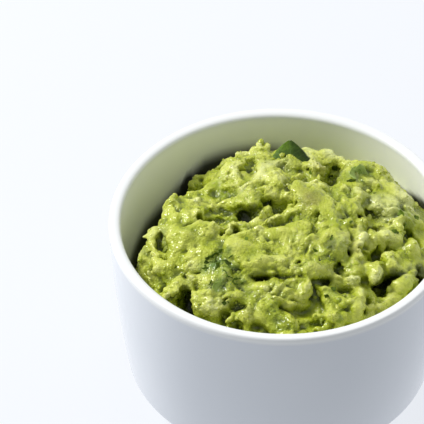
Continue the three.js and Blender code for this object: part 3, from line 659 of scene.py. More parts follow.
def sample(vol, p):
    q = (p - LOW) / H
    i = np.clip(np.floor(q).astype(int), 0, np.array(vol.shape) - 2)
    f = q - i
    out = 0
    for dx in (0, 1):
        for dy in (0, 1):
            for dz in (0, 1):
                w = (f[:, 0] if dx else 1 - f[:, 0]) * (f[:, 1] if dy else 1 - f[:, 1]) * (f[:, 2] if dz else 1 - f[:, 2])
                out = out + w * vol[i[:, 0] + dx, i[:, 1] + dy, i[:, 2] + dz]
    return out


clipped = np.clip(field, -2.5, 2.5)
near_blur, far_blur = box_blur(clipped, 4), box_blur(clipped, 9)   # positive on ridges, negative in creases


def mash_piece(name, part):
    pts, quads, tris, _ = part
    ob = mesh_object(name, pts, [quads, tris])
    point_value(ob, "bulge", sample(near_blur, pts))
    point_value(ob, "broad", sample(far_blur, pts))
    point_value(ob, "tone", sample(tone, pts))
    point_value(ob, "crumb", sample(crumb, pts))
    point_value(ob, "rough", sample(rough, pts))
    point_value(ob, "pit_shade", sample(pit_shade, pts))
    patchy = np.clip(0.75 + 0.45 * sample(f7, pts) + 0.35 * sample(f5, pts), 0.1, 1.2)
    for k, nm in enumerate(("brown", "herb", "pale")):
        point_value(ob, nm, np.clip(stained(pts)[:, k] * patchy, 0, 1))
    return ob


mash_front = mash_piece("guacamole_mash_front", front)
mash_back = mash_piece("guacamole_mash_back", back)


# ------------------------------------------------------------------ loose crumbs
def icosphere(level):
    t = (1 + 5 ** 0.5) / 2
    v = [(-1, t, 0), (1, t, 0), (-1, -t, 0), (1, -t, 0), (0, -1, t), (0, 1, t), (0, -1, -t), (0, 1, -t),
         (t, 0, -1), (t, 0, 1), (-t, 0, -1), (-t, 0, 1)]
    f = [(0, 11, 5), (0, 5, 1), (0, 1, 7), (0, 7, 10), (0, 10, 11), (1, 5, 9), (5, 11, 4), (11, 10, 2), (10, 7, 6), (7, 1, 8),
         (3, 9, 4), (3, 4, 2), (3, 2, 6), (3, 6, 8), (3, 8, 9), (4, 9, 5), (2, 4, 11), (6, 2, 10), (8, 6, 7), (9, 8, 1)]
    v = [np.array(p) / np.linalg.norm(p) for p in v]
    for _ in range(level):
        mid, out = {}, []
        for tri in f:
            m = []
            for k in range(3):
                key = tuple(sorted((tri[k], tri[(k + 1) % 3])))
                if key not in mid:
                    w = v[key[0]] + v[key[1]]
                    mid[key] = len(v)
                    v.append(w / np.linalg.norm(w))
                m.append(mid[key])
            out += [(tri[0], m[0], m[2]), (tri[1], m[1], m[0]), (tri[2], m[2], m[1]), tuple(m)]
        f = out
    return np.array(v), np.array(f)


tri_n = np.cross(t3[:, 1] - t3[:, 0], t3[:, 2] - t3[:, 0])
tri_area = np.linalg.norm(tri_n, axis=1) / 2
tri_n /= 2 * tri_area[:, None] + 1e-12
centre = t3.mean(1)
open_top = (tri_n[:, 2] > -0.15) & (centre[:, 2] > 44) & (np.hypot(centre[:, 0], centre[:, 1]) < inner_radius(centre[:, 2]) - 0.9)
off_cut = np.abs(np.abs(centre[:, 1] - np.interp(centre[:, 0], gx, seam)) - 0.4) > 0.25
open_top &= off_cut | (np.abs(tri_n[:, 1]) < 0.8)


def scatter(seed, number, weight):
    """Random places on the open surface: point, normal."""
    r = np.random.default_rng(seed)
    w = tri_area * open_top * weight
    pick = r.choice(len(w), number, p=w / w.sum())
    a, b = r.uniform(size=(2, number, 1))
    flip = a + b > 1
    a, b = np.where(flip, 1 - a, a), np.where(flip, 1 - b, b)
    p = t3[pick, 0] + a * (t3[pick, 1] - t3[pick, 0]) + b * (t3[pick, 2] - t3[pick, 0])
    return p, tri_n[pick], r


def turned(r, n):
    """Random unit frames, one per row."""
    a = r.normal(size=(n, 3))
    a /= np.linalg.norm(a, axis=1)[:, None]
    b = r.normal(size=(n, 3))
    b -= a * (a * b).sum(1)[:, None]
    b /= np.linalg.norm(b, axis=1)[:, None]
    return np.stack([a, b, np.cross(a, b)], 2)


def bits(name, seed, number, size, spread, level, lump, weight, sink):
    """Joined small lumps of food, half sunk in the surface."""
    p, n, r = scatter(seed, number, weight)
    v0, f0 = icosphere(level)
    rad = size * np.exp(spread * r.normal(size=number))
    rad = np.clip(rad, size * 0.5, size * 2.2)
    frames = turned(r, number)
    stretch = np.stack([r.uniform(0.9, 1.5, number), r.uniform(0.75, 1.1, number), r.uniform(0.6, 0.9, number)], 1)
    wob = 1 + lump * r.normal(size=(number, len(v0)))
    if level > 1:                  # smoother lumps: wobble from a few random directions
        dirs = r.normal(size=(number, 5, 3))
        dirs /= np.linalg.norm(dirs, axis=2)[:, :, None]
        wob = 1 + lump * 1.6 * np.sin(2.3 * np.einsum("nkc,vc->nkv", dirs, v0) + r.uniform(0, 6, (number, 5, 1))).mean(1)
    local_v = v0[None] * wob[:, :, None] * stretch[:, None, :] * rad[:, None, None]
    verts = np.einsum("nij,nvj->nvi", frames, local_v) + (p - n * (rad * sink)[:, None])[:, None, :]
    faces = f0[None] + (np.arange(number) * len(v0))[:, None, None]
    keep_ = (np.hypot(verts[..., 0], verts[..., 1]).max(1) < inner_radius(p[:, 2]) - 0.3) & (verts[..., 2].max(1) < 73.2)
    verts, faces = verts[keep_], f0[None] + (np.arange(keep_.sum()) * len(v0))[:, None, None]
    ob = mesh_object(name, verts.reshape(-1, 3), faces.reshape(-1, 3))
    m = len(v0)
    own = r.uniform(-1, 1, keep_.sum())
    base_tone = sample(tone, p[keep_])
    point_value(ob, "tone", np.repeat(np.clip(base_tone + 0.5 * own, -1, 1), m))
    # the bits count as small ridges, so the mash's painted light lifts them a little
    point_value(ob, "bulge", np.repeat(0.25 + 0.2 * own, m))
    point_value(ob, "broad", np.zeros(len(own) * m))
    point_value(ob, "crumb", np.repeat(own * 0.5, m))
    point_value(ob, "rough", np.full(len(own) * m, 0.5))
    point_value(ob, "pit_shade", np.repeat(sample(pit_shade, p[keep_]), m))
    st = stained(p[keep_])
    for k, nm in enumerate(("brown", "herb", "pale")):
        point_value(ob, nm, np.repeat(np.clip(st[:, k] * (0.9 + 0.5 * own), 0, 1), m))
    return ob


patch_noise = sample(spline_noise(81, 5.0), centre)
tri_rough = sample(rough, centre)
grainy = np.clip(0.1 + tri_rough * 0.8 + 0.6 * patch_noise, 0.02, 2.0) ** 3
crumbs = bits("avocado_crumbs", 5, 7600, 0.20, 0.32, 0, 0.10, grainy, 0.45)
chunks = bits("avocado_bits", 6, 1100, 0.62, 0.34, 1, 0.07, np.clip(0.2 + tri_rough + 0.4 * patch_noise, 0.05, 2.0), 0.6)

# the body of the food under the surface, down to the bowl's floor
prof = [(0.0, FOOT_HEIGHT + FLOOR_THICKNESS + 0.35)] + [(r, z) for r, z in reversed(inner_profile(30, 14, 0.35)) if z < 36.0]
prof += [(inner_radius(36.9) - 0.35, 36.9), (20.0, 37.0), (0.0, 37.0)]
v, f = lathe(np.array(prof), 96)
body = mesh_object("guacamole_body", v, f)

# ------------------------------------------------------------------ herbs
def sheet(grid_mid, thick):
    """A closed thin body over a grid of middle points (m, n, 3) with a thickness per point."""
    m, n = grid_mid.shape[:2]
    du, dv = np.gradient(grid_mid, axis=0), np.gradient(grid_mid, axis=1)
    nrm = np.cross(dv, du)
    nrm /= np.linalg.norm(nrm, axis=2)[..., None] + 1e-12
    top = (grid_mid + nrm * thick[..., None] / 2).reshape(-1, 3)
    low = (grid_mid - nrm * thick[..., None] / 2).reshape(-1, 3)
    verts = np.concatenate([top, low])
    i = (np.arange(m - 1)[:, None] * n + np.arange(n - 1)[None]).ravel()
    up = np.stack([i, i + 1, i + n + 1, i + n], 1)
    dn = up[:, ::-1] + m * n
    edge = np.concatenate([np.arange(n), np.arange(1, m) * n + n - 1, (m - 1) * n + np.arange(n - 2, -1, -1), np.arange(m - 2, 0, -1) * n])
    nxt = np.roll(edge, -1)
    rim = np.stack([nxt, edge, edge + m * n, nxt + m * n], 1)
    return verts, np.concatenate([up, dn, rim])


def leaf_piece():
    """The folded leaf in the back of the heap, with its midrib, side veins and turned edge; the edge's pale colour is
    partly a painted highlight.
    """
    t = np.linspace(-0.30, 1.0, 60)[:, None]
    v = np.linspace(-1.0, 1.0, 81)[None]
    tt = np.clip(t, 0, 1)
    half = 6.3 * (1 - 0.93 * tt ** 2.1) * (1 + 0.012 * np.sin(t * 23 + 1) + 0.010 * np.sin(t * 41)) - 0.12
    z = 6.62 * t + 0 * v
    x = half * v - 1.2 * (z / 6.7)
    w = 2 * x / 12.6
    mid = -1.2 * (z / 6.7) - 0.3
    rib = np.exp(-((x - mid) / 0.20) ** 2)
    side = (z * 0.85 - np.abs(x - mid) * 0.62) * 0.95
    veins = np.clip(np.cos(side * 2 * math.pi / 1.55) - 0.86, 0, 1) / 0.14 * np.clip(np.abs(x - mid) / 0.5, 0, 1)
    fine = np.sin(x * 5.1 + 1.7 * np.sin(z * 3.3)) * np.sin(z * 5.7 + 1.3 * np.sin(x * 2.9))
    y = -1.7 * (1 - w * w) - 1.3 * (z / 6.7) ** 2 + 0.09 * rib + 0.05 * veins + 0.035 * fine
    y = y + 0.16 * np.sin(v * 7 + t * 5) * np.abs(v) ** 3
    turned_edge = smoothstep((v - 0.86) / 0.12) * smoothstep((t - 0.30) / 0.15) * smoothstep((1.02 - t) / 0.1)
    y = y + 0.45 * turned_edge
    mid_pts = np.stack([x, y, z], 2)
    verts, faces = sheet(mid_pts, 0.14 + 0.26 * (1 - np.abs(v) ** 6) * np.ones_like(t))
    a, b = math.radians(-57), math.radians(-6)
    q = np.stack([verts[:, 0], verts[:, 1] * math.cos(a) - verts[:, 2] * math.sin(a), verts[:, 1] * math.sin(a) + verts[:, 2] * math.cos(a)], 1)
    q = np.stack([q[:, 0] * math.cos(b) - q[:, 1] * math.sin(b), q[:, 0] * math.sin(b) + q[:, 1] * math.cos(b), q[:, 2]], 1)
    q = q + np.array([2.9, 26.6, 67.0])
    q[:, 2] = np.minimum(q[:, 2], 73.4)
    ob = mesh_object("herb_leaf_blade", q, faces)
    for nm, val in (("rib", rib + 0 * v), ("veins", veins), ("edge", turned_edge), ("along", t + 0 * v), ("across", v + 0 * t)):
        point_value(ob, nm, np.tile(val.ravel(), 2))
    return ob


leaf = leaf_piece()

# bits of chopped herb: pixel x, y, length, width (pixels), direction (degrees), how far it
# leans out of the surface (degrees), how much it curls, how far it stands out (mm), shade 0 dark .. 1 light
FLAKES = [
    (213, 257, 13, 6.5, 25, 30, 1.0, 0.1, 0.25), (222, 252, 10, 5, 8, 40, 0.9, 0.1, 0.45), (210, 264, 13, 5.5, -15, 25, 1.1, 0.0, 0.1),
    (219, 267, 11, 6, 55, 35, 1.1, 0.0, 0.3), (227, 263, 12, 4.2, -28, 25, 0.6, 0.0, 0.05), (232, 257, 8, 4, 20, 30, 0.8, 0.0, 0.5),
    (205, 269, 8, 4, 0, 30, 0.7, 0.0, 0.3), (225, 273, 9, 4, -50, 35, 0.9, 0.0, 0.35), (237, 281, 11, 6, 20, 15, 0.8, 0.0, 0.3),
    (229, 278, 8, 4, -20, 30, 0.8, 0.0, 0.2), (222, 287, 20, 10, 8, 6, 0.3, 0.05, 1.0), (211, 283, 7, 3.4, 60, 40, 0.7, 0.0, 0.4),
    (216, 260, 8, 4, 70, 45, 1.0, 0.1, 0.6), (209, 258, 8, 2.6, 14, 30, 0.8, 0.1, 0.0), (242, 284, 6, 3, 30, 30, 0.8, 0.0, 0.3),
    (359, 175, 25, 15, 18, 12, 1.3, 0.4, 1.6),
    (334, 171, 6, 13, -12, 60, 0.6, 0.1, 0.0), (331, 178, 5, 7, 10, 50, 0.5, 0.0, 0.0), 
    (357, 171, 10, 5, -25, 30, 0.8, 0.4, 0.8), (351, 181, 9, 2.6, 6, 25, 0.4, 0.1, 0.1), (401, 214, 9, 5, -50, 45, 0.8, 0.4, 0.5),
    (404, 226, 7, 4, 70, 40, 0.6, 0.3, 0.5), (395, 232, 8, 3.4, -10, 30, 0.5, 0.2, 0.3), (412, 236, 7, 3, -30, 30, 0.5, 0.2, 0.3),
    (340, 246, 8, 5, 35, 45, 0.8, 0.2, 0.4), (332, 238, 6, 3, 60, 40, 0.5, 0.2, 0.4), (316, 252, 4, 7, -10, 50, 0.5, 0.0, 0.2),
    (333, 289, 7, 4, -60, 40, 0.5, 0.1, 0.2), (327, 297, 4, 6, 10, 50, 0.5, 0.1, 0.1), (198, 160, 9, 5, 30, 40, 0.8, 0.2, 0.2),
    (190, 166, 7, 4, 50, 40, 0.8, 0.2, 0.1), (207, 158, 8, 4, 10, 40, 0.8, 0.3, 0.3), (225, 303, 8, 3, 10, 30, 0.5, 0.1, 0.2),
    (186, 293, 4, 7, 5, 50, 0.4, 0.0, 0.1), (246, 240, 3, 6, -10, 45, 0.5, 0.1, 0.5), (310, 174, 3, 7, -30, 45, 0.5, 0.1, 0.6),
    (383, 291, 8, 4, 40, 45, 0.5, 0.0, 0.1), (416, 218, 6, 4, 20, 30, 0.5, 0.2, 0.4), (296, 265, 5, 2.5, 20, 30, 0.5, 0.1, 0.5),
    (259, 281, 5, 2.5, -20, 30, 0.5, 0.1, 0.3), (351, 222, 4, 2.2, 30, 30, 0.5, 0.1, 0.6), (176, 268, 4, 2.2, 30, 30, 0.5, 0.1, 0.5),
]


def cast(px, py):
    """Where a pixel's line of sight meets the modelled mash."""
    d = FWD + RIGHT * (px - IMAGE / 2) / FOCAL - UP * (py - IMAGE / 2) / FOCAL
    d /= np.linalg.norm(d)
    q = CAM + np.arange(780.0, 960.0, 0.15)[:, None] * d
    ok = ((q > LOW + 2 * H) & (q < HIGH - 2 * H)).all(1)
    q = q[ok]
    f = sample(field, q)
    if not (f < 0).any():
        return None, None
    k = np.argmax(f < 0)
    e = 0.6
    grad = np.array([(sample(field, q[k:k + 1] + v) - sample(field, q[k:k + 1] - v))[0] for v in np.eye(3) * e])
    return q[k], grad / (np.linalg.norm(grad) + 1e-9)


def flake(p, n, length, width, turn, lean, curl, out, r):
    """A torn bit of leaf: a small curled sheet with an uneven outline."""
    x = RIGHT - n * (RIGHT @ n)
    x /= np.linalg.norm(x)
    y = np.cross(n, x)
    t = math.radians(turn)
    a, b = x * math.cos(t) + y * math.sin(t), -x * math.sin(t) + y * math.cos(t)
    le = math.radians(lean)
    b, c = b * math.cos(le) + n * math.sin(le), n * math.cos(le) - b * math.sin(le)
    u = np.linspace(-1, 1, 13)[:, None]
    v = np.linspace(-1, 1, 9)[None]
    ph = r.uniform(0, 6, 4)
    half = np.sqrt(np.clip(1.02 - u ** 2, 0, 1)) * (1 + 0.22 * np.sin(4.5 * u + ph[0]) + 0.12 * np.sin(9 * u + ph[1]))
    X = length / 2 * (u + 0.10 * np.sin(3 * v + ph[2]) * (1 - u * u))
    Y = width / 2 * half * v
    Z = curl * width * 0.35 * (v * v * half ** 2 - 0.3) + curl * length * 0.10 * np.sin(2.2 * u + ph[3]) + 0.05 * np.sin(6 * u) * np.sin(7 * v)
    mid = p + n * out + X[..., None] * a + Y[..., None] * b + Z[..., None] * c
    return sheet(mid, np.full(X.shape, 0.16))


r_f = np.random.default_rng(17)
fv, ff_, shade = [], [], []
count_ = 0
for px, py, ln, wd, turn, lean, curl, out, sh in FLAKES:
    p, n = cast(px, py)
    if p is None or p[2] > 73:
        continue
    vv, qq = flake(p, n, ln / 3.29, wd / 3.0, turn, lean, curl, out, r_f)
    if vv[:, 2].max() > 73.3:
        continue
    fv.append(vv); ff_.append(qq + count_); shade.append(np.full(len(vv), sh))
    count_ += len(vv)
side_p, side_n, r_s = scatter(23, 70, np.ones(len(centre)))
for p, n in zip(side_p, side_n):
    q = p - CAM                            # only where the photo's frame ends, and behind
    px = IMAGE / 2 + FOCAL * (q @ RIGHT) / (q @ FWD)
    if p[2] > 64 or (px < 424 and n[1] < 0.35):
        continue
    vv, qq = flake(p, n, r_s.uniform(1.2, 2.6), r_s.uniform(0.8, 1.5), r_s.uniform(0, 360), 30, 0.7, 0.1, r_s)
    if vv[:, 2].max() > 73.3:
        continue
    fv.append(vv); ff_.append(qq + count_); shade.append(np.full(len(vv), r_s.uniform(0, 0.5)))
    count_ += len(vv)
flakes = mesh_object("herb_flakes", np.concatenate(fv), np.concatenate(ff_))
point_value(flakes, "shade", np.concatenate(shade))

# ------------------------------------------------------------------ bowl
v, f = lathe(bowl_profile(), 256)
bowl = mesh_object("bowl_glazed", v, f)


# ------------------------------------------------------------------ materials
def material(name):
    m = bpy.data.materials.new(name)
    m.use_nodes = True
    nt = m.node_tree
    nt.nodes.clear()
    out = nt.nodes.new("ShaderNodeOutputMaterial")
    bsdf = nt.nodes.new("ShaderNodeBsdfPrincipled")
    nt.links.new(bsdf.outputs[0], out.inputs[0])
    return m, nt, bsdf


def node(nt, kind, **inputs):
    n = nt.nodes.new(kind)
    for k, v in inputs.items():
        if k in n.inputs:
            n.inputs[k].default_value = v
        else:
            setattr(n, k, v)
    return n


def attribute(nt, name):
    n = nt.nodes.new("ShaderNodeAttribute")
    n.attribute_name = name
    return n.outputs["Fac"]


def math_node(nt, op, a, b=None, c=None, clamp=False):
    n = nt.nodes.new("ShaderNodeMath")
    n.operation = op
    n.use_clamp = clamp
    for i, v in enumerate((a, b, c)):
        if v is None:
            continue
        if isinstance(v, (int, float)):
            n.inputs[i].default_value = v
        else:
            nt.links.new(v, n.inputs[i])
    return n.outputs[0]


def ramp(nt, fac, stops):
    n = nt.nodes.new("ShaderNodeValToRGB")
    cr = n.color_ramp
    while len(cr.elements) > 1:
        cr.elements.remove(cr.elements[-1])
    cr.elements[0].position = stops[0][0]
    cr.elements[0].color = (*stops[0][1], 1)
    for pos, col in stops[1:]:
        e = cr.elements.new(pos)
        e.color = (*col, 1)
    nt.links.new(fac, n.inputs[0])
    return n.outputs[0]


def mix_colour(nt, fac, a, b, mode="MIX"):
    n = nt.nodes.new("ShaderNodeMix")
    n.data_type = "RGBA"
    n.blend_type = mode
    n.clamp_factor = True
    for sock, v in ((n.inputs[0], fac), (n.inputs[6], a), (n.inputs[7], b)):
        if isinstance(v, (int, float)):
            sock.default_value = v
        elif isinstance(v, tuple):
            sock.default_value = (*v, 1) if len(v) == 3 else v
        else:
            nt.links.new(v, sock)
    return n.outputs[2]


def linear(r, g_, b):
    return tuple(((c / 255) / 12.92 if c / 255 <= 0.04045 else ((c / 255 + 0.055) / 1.055) ** 2.4) for c in (r, g_, b))


def noise(nt, coord, scale, detail=2.0, rough_=0.5, distortion=0.0):
    n = nt.nodes.new("ShaderNodeTexNoise")
    n.inputs["Scale"].default_value = scale
    n.inputs["Detail"].default_value = detail
    n.inputs["Roughness"].default_value = rough_
    n.inputs["Distortion"].default_value = distortion
    nt.links.new(coord, n.inputs["Vector"])
    return n.outputs["Fac"]


def voronoi(nt, coord, scale, socket="Distance"):
    n = nt.nodes.new("ShaderNodeTexVoronoi")
    n.inputs["Scale"].default_value = scale
    nt.links.new(coord, n.inputs["Vector"])
    return n.outputs[socket]


MASH_COLOURS = [(0.0, linear(92, 112, 2)), (0.25, linear(138, 154, 10)), (0.5, linear(170, 182, 38)),
                (0.75, linear(199, 206, 86)), (1.0, linear(223, 228, 146))]


def mash_material(name, lift=0.0):
    m, nt, b = material(name)
    tc = nt.nodes.new("ShaderNodeTexCoord").outputs["Object"]
    tone_ = attribute(nt, "tone")
    bulge_ = attribute(nt, "bulge")
    broad_ = attribute(nt, "broad")
    crumb_ = attribute(nt, "crumb")
    rough_ = attribute(nt, "rough")
    n_big = noise(nt, tc, 110, 3, 0.5, 0.4)
    n_mid = noise(nt, tc, 420, 3, 0.6, 0.3)
    n_fine = noise(nt, tc, 1300, 3, 0.65)
    # 0 deep green .. 1 cream
    t = math_node(nt, "MULTIPLY_ADD", tone_, 0.30, 0.475 + lift)
    t = math_node(nt, "MULTIPLY_ADD", math_node(nt, "SUBTRACT", n_big, 0.5), 1.15, t)
    t = math_node(nt, "MULTIPLY_ADD", math_node(nt, "SUBTRACT", n_mid, 0.5), 0.20, t)
    t = math_node(nt, "MULTIPLY_ADD", math_node(nt, "SUBTRACT", n_fine, 0.5), 0.26, t)
    t = math_node(nt, "MULTIPLY_ADD", crumb_, 0.06, t)
    # painted light and shade: ridges are painted lighter, hollows darker
    t = math_node(nt, "MULTIPLY_ADD", bulge_, 0.10, t)
    t = math_node(nt, "MULTIPLY_ADD", broad_, 0.20, t, clamp=True)
    col = ramp(nt, t, MASH_COLOURS)
    # pale, browned and herb-stained places
    col = mix_colour(nt, math_node(nt, "MULTIPLY", attribute(nt, "pale"), 0.45), col, linear(232, 233, 176))
    stain = math_node(nt, "MULTIPLY_ADD", noise(nt, tc, 75, 3, 0.6, 0.6), 6.0, -3.9, clamp=True)
    stain = math_node(nt, "MAXIMUM", math_node(nt, "MULTIPLY", stain, 0.40), math_node(nt, "MULTIPLY", attribute(nt, "brown"), 0.62))
    col = mix_colour(nt, stain, col, linear(158, 146, 84))
    green = math_node(nt, "MULTIPLY_ADD", noise(nt, tc, 92, 3, 0.6, 0.8), -6.0, 2.3, clamp=True)
    green = math_node(nt, "MAXIMUM", math_node(nt, "MULTIPLY", green, 0.30), math_node(nt, "MULTIPLY", attribute(nt, "herb"), 0.88))
    col = mix_colour(nt, green, col, linear(92, 124, 52))
    # painted shade: creases and pits, found by the curvature, are darkened towards deep green, and the deep hollows
    # more so
    crease_shade = math_node(nt, "MULTIPLY_ADD", bulge_, -2.0, -0.10, clamp=True)
    hollow_shade = math_node(nt, "MULTIPLY_ADD", broad_, -1.1, -0.36, clamp=True)
    col = mix_colour(nt, math_node(nt, "MAXIMUM", math_node(nt, "MULTIPLY", crease_shade, 0.88), math_node(nt, "MULTIPLY", hollow_shade, 0.95)),
                     col, (0.22, 0.26, 0.05), "MULTIPLY")
    col = mix_colour(nt, math_node(nt, "MULTIPLY", attribute(nt, "pit_shade"), 0.95), col, (0.16, 0.19, 0.03), "MULTIPLY")
    nt.links.new(col, b.inputs["Base Color"])
    b.inputs["Subsurface Weight"].default_value = 0.18
    b.inputs["Subsurface Radius"].default_value = (1.0, 0.9, 0.25)
    b.inputs["Subsurface Scale"].default_value = 0.0018
    rgh = math_node(nt, "MULTIPLY_ADD", n_mid, 0.4, 0.25)
    nt.links.new(rgh, b.inputs["Roughness"])
    b.inputs["Specular IOR Level"].default_value = 0.3
    b.inputs["Coat Weight"].default_value = 0.9
    b.inputs["Coat Roughness"].default_value = 0.09
    b.inputs["Coat IOR"].default_value = 1.38
    wet = nt.nodes.new("ShaderNodeBump")
    wet.inputs["Strength"].default_value = 1.0
    wet.inputs["Distance"].default_value = 0.00020
    nt.links.new(math_node(nt, "MULTIPLY_ADD", voronoi(nt, tc, 1500), -0.6, noise(nt, tc, 800, 1, 0.5, 0.4)), wet.inputs["Height"])
    nt.links.new(wet.outputs[0], b.inputs["Coat Normal"])
    # grains under half a millimetre, and the finest unevenness
    grains = math_node(nt, "MULTIPLY_ADD", voronoi(nt, tc, 1250), -0.9, math_node(nt, "MULTIPLY", voronoi(nt, tc, 2100), -0.4))
    grains = math_node(nt, "MULTIPLY", grains, math_node(nt, "MULTIPLY_ADD", rough_, 0.55, 0.4, clamp=True))
    hgt = math_node(nt, "MULTIPLY_ADD", n_fine, 0.9, grains)
    hgt = math_node(nt, "MULTIPLY_ADD", noise(nt, tc, 700, 3, 0.6, 0.5), 1.1, hgt)
    bump = nt.nodes.new("ShaderNodeBump")
    bump.inputs["Strength"].default_value = 1.0
    bump.inputs["Distance"].default_value = 0.00031
    nt.links.new(hgt, bump.inputs["Height"])
    nt.links.new(bump.outputs[0], b.inputs["Normal"])
    return m


def leaf_material():
    m, nt, b = material("herb_leaf_blade")
    tc = nt.nodes.new("ShaderNodeTexCoord").outputs["Object"]
    n1, n2 = noise(nt, tc, 350, 3, 0.6), noise(nt, tc, 1500, 3, 0.6)
    t = math_node(nt, "MULTIPLY_ADD", n1, 1.1, math_node(nt, "MULTIPLY_ADD", n2, 0.5, -0.35))
    t = math_node(nt, "MULTIPLY_ADD", attribute(nt, "across"), -0.30, t)
    t = math_node(nt, "MULTIPLY_ADD", attribute(nt, "along"), 0.20, t, clamp=True)
    col = ramp(nt, t, [(0.0, linear(34, 52, 8)), (0.35, linear(48, 70, 10)), (0.7, linear(68, 96, 16)), (1.0, linear(98, 130, 26))])
    line = math_node(nt, "MAXIMUM", attribute(nt, "rib"), math_node(nt, "MULTIPLY", attribute(nt, "veins"), 0.6))
    col = mix_colour(nt, math_node(nt, "MULTIPLY", line, 0.35), col, linear(112, 140, 66))
    # the turned edge is painted pale, partly a painted highlight
    col = mix_colour(nt, math_node(nt, "MULTIPLY", attribute(nt, "edge"), 0.9), col, linear(188, 200, 118))
    nt.links.new(col, b.inputs["Base Color"])
    b.inputs["Subsurface Weight"].default_value = 0.08
    b.inputs["Subsurface Radius"].default_value = (0.5, 1.0, 0.2)
    b.inputs["Subsurface Scale"].default_value = 0.0006
    nt.links.new(math_node(nt, "MULTIPLY_ADD", n1, 0.25, 0.42), b.inputs["Roughness"])
    b.inputs["Specular IOR Level"].default_value = 0.3
    bump = nt.nodes.new("ShaderNodeBump")
    bump.inputs["Strength"].default_value = 0.6
    bump.inputs["Distance"].default_value = 0.00006
    nt.links.new(math_node(nt, "ADD", n2, voronoi(nt, tc, 2600)), bump.inputs["Height"])
    nt.links.new(bump.outputs[0], b.inputs["Normal"])
    return m


def flake_material():
    m, nt, b = material("herb_flakes")
    tc = nt.nodes.new("ShaderNodeTexCoord").outputs["Object"]
    n1, n2 = noise(nt, tc, 600, 3, 0.6), noise(nt, tc, 1800, 3, 0.6)
    t = math_node(nt, "MULTIPLY_ADD", n1, 0.9, math_node(nt, "MULTIPLY_ADD", n2, 0.3, -0.5))
    t = math_node(nt, "MULTIPLY_ADD", attribute(nt, "shade"), 0.75, t, clamp=True)
    col = ramp(nt, t, [(0.0, linear(54, 70, 16)), (0.3, linear(82, 104, 28)), (0.65, linear(124, 150, 54)), (1.0, linear(166, 188, 100))])
    nt.links.new(col, b.inputs["Base Color"])
    nt.links.new(math_node(nt, "MULTIPLY_ADD", n1, 0.3, 0.35), b.inputs["Roughness"])
    b.inputs["Specular IOR Level"].default_value = 0.12
    bump = nt.nodes.new("ShaderNodeBump")
    bump.inputs["Strength"].default_value = 0.7
    bump.inputs["Distance"].default_value = 0.00012
    nt.links.new(n2, bump.inputs["Height"])
    nt.links.new(bump.outputs[0], b.inputs["Normal"])
    return m


def glaze_material():
    m, nt, b = material("white_glaze")
    tc = nt.nodes.new("ShaderNodeTexCoord").outputs["Object"]
    n1 = noise(nt, tc, 30, 2, 0.5)
    # painted light and shade: the inside is painted a lighter white and the outer side a darker, bluer white; the lip's
    # top is a slightly greyer white
    inner = mix_colour(nt, n1, linear(243, 244, 242), linear(248, 249, 246))
    outer = mix_colour(nt, n1, linear(213, 218, 226), linear(219, 223, 230))
    col = mix_colour(nt, attribute(nt, "outside"), inner, outer)
    col = mix_colour(nt, attribute(nt, "lip"), col, linear(232, 234, 235))
    # painted shade: the inner wall is darkened to dark olive along the mash's edge and down the crevice
    col = mix_colour(nt, math_node(nt, "MULTIPLY", attribute(nt, "crevice_shade"), 0.97), col, linear(26, 30, 10))
    nt.links.new(col, b.inputs["Base Color"])
    rgh = math_node(nt, "MULTIPLY_ADD", n1, 0.06, math_node(nt, "MULTIPLY_ADD", attribute(nt, "outside"), -0.25, 0.40))
    nt.links.new(rgh, b.inputs["Roughness"])
    b.inputs["IOR"].default_value = 1.5
    b.inputs["Specular IOR Level"].default_value = 0.4
    bump = nt.nodes.new("ShaderNodeBump")
    bump.inputs["Strength"].default_value = 0.25
    bump.inputs["Distance"].default_value = 0.0003
    nt.links.new(noise(nt, tc, 55, 2, 0.5), bump.inputs["Height"])
    nt.links.new(bump.outputs[0], b.inputs["Normal"])
    return m


mat_mash = mash_material("guacamole_mash")
mash_front.data.materials.append(mat_mash)
mash_back.data.materials.append(mat_mash)
body.data.materials.append(mat_mash)
leaf.data.materials.append(leaf_material())
flakes.data.materials.append(flake_material())
crumbs.data.materials.append(mash_material("avocado_crumbs", 0.06))
chunks.data.materials.append(mash_material("avocado_bits", 0.02))
for nm in ("tone", "bulge", "broad", "crumb", "rough", "pit_shade", "brown", "herb", "pale"):
    point_value(body, nm, np.zeros(len(body.data.vertices)))
# the outer side is the part of the profile before the lip's top; where the mash meets the wall, and down the crevice at
# the left and back left, the inner glaze is painted dark olive as painted shade
prof = bowl_profile()[1:-1]
lip = int(np.argmax(prof[:, 1]))
outer_side = np.concatenate([np.repeat((np.arange(len(prof)) < lip).astype(float), 256), [1.0, 0.0]])
point_value(bowl, "outside", outer_side * smoothstep((RIM_Z - 0.6 - v[:, 2]) / 1.4))
point_value(bowl, "lip", smoothstep((v[:, 2] - 65.6) / 1.2) * (1 - outer_side * smoothstep((RIM_Z - 0.6 - v[:, 2]) / 1.4)))
at_deg = np.degrees(np.arctan2(v[:, 1], v[:, 0])) % 360
contact = RIM_Z - CONTACT_DROP - trough(at_deg) + 0.7 * np.sin(np.radians(at_deg) * 5 + 1) + 0.4
deep = np.interp(at_deg, [60, 84, 100, 113, 121, 126, 134, 142, 155, 164, 180, 205, 215],
                 [0, 53.5, 56.0, 55.6, 55.0, 52.6, 49.2, 46.9, 46.0, 44.4, 43.6, 43.0, 0])
line = np.maximum(contact, deep)
point_value(bowl, "crevice_shade", (1 - outer_side) * smoothstep(0.5 + (line - v[:, 2]) / np.where(deep > contact, 6.5, 2.6)))
bowl.data.materials.append(glaze_material())

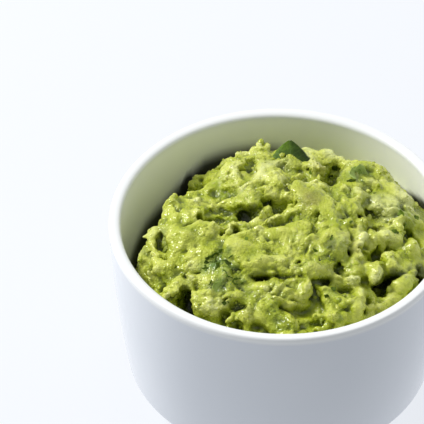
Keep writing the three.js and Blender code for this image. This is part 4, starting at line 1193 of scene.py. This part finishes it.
m, nt, b = material("floor")
b.inputs["Base Color"].default_value = (0.16, 0.165, 0.17, 1)
b.inputs["Roughness"].default_value = 0.9
b.inputs["Emission Color"].default_value = (0.70, 0.72, 0.76, 1)
tc = nt.nodes.new("ShaderNodeTexCoord").outputs["Object"]
xyz = nt.nodes.new("ShaderNodeSeparateXYZ")
nt.links.new(tc, xyz.inputs[0])
# the floor glows, painted light: its glow is even behind the bowl and falls off towards the front and the right
dim = math_node(nt, "MAXIMUM", math_node(nt, "MULTIPLY_ADD", xyz.outputs["X"], -5.0, 0.46, clamp=True), 0.34)
near = math_node(nt, "MULTIPLY_ADD", xyz.outputs["Y"], 13.0, 1.42, clamp=True)
lit = math_node(nt, "MULTIPLY_ADD", near, math_node(nt, "SUBTRACT", 1.0, dim), dim)
nt.links.new(lit, b.inputs["Emission Strength"])
floor = mesh_object("floor", np.array([[-4000, -4000, -0.3], [4000, -4000, -0.3], [4000, 4000, -0.3], [-4000, 4000, -0.3]]), np.array([[0, 1, 2, 3]]))
floor.data.materials.append(m)

# ------------------------------------------------------------------ light
world = bpy.data.worlds.new("world")
world.use_nodes = True
world.node_tree.nodes["Background"].inputs[0].default_value = (0.95, 0.98, 1.0, 1)
world.node_tree.nodes["Background"].inputs[1].default_value = 0.52
bpy.context.scene.world = world


def area(name, direction, distance, size, power, colour=(1, 1, 1)):
    d = Vector(direction).normalized()
    data = bpy.data.lights.new(name, "AREA")
    data.shape = "DISK"
    data.size = size
    data.energy = power
    data.color = colour
    ob = bpy.data.objects.new(name, data)
    ob.location = Vector((0, 0, 0.05)) + d * distance
    ob.rotation_euler = d.to_track_quat("Z", "Y").to_euler()
    bpy.context.scene.collection.objects.link(ob)


area("key", (-0.666, 0.301, 0.682), 1.2, 0.36, 14.6, (1.0, 0.985, 0.96))
area("soft_back_right", (0.74, 0.52, 0.43), 1.2, 1.3, 3.2, (0.97, 0.99, 1.0))

sc = bpy.context.scene
sc.view_settings.view_transform = "Standard"
sc.view_settings.look = "None"
sc.view_settings.exposure = 0.0

# ------------------------------------------------------------------ attach the pieces, hide the CAD parts
for piece in (mash_front, mash_back, body, crumbs, chunks, flakes, leaf, bowl):
    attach(piece, "root")
for piece in (mash_front, mash_back, body, crumbs, chunks, flakes):
    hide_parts("guacamole")
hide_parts("herb_leaf")
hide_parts("bowl")
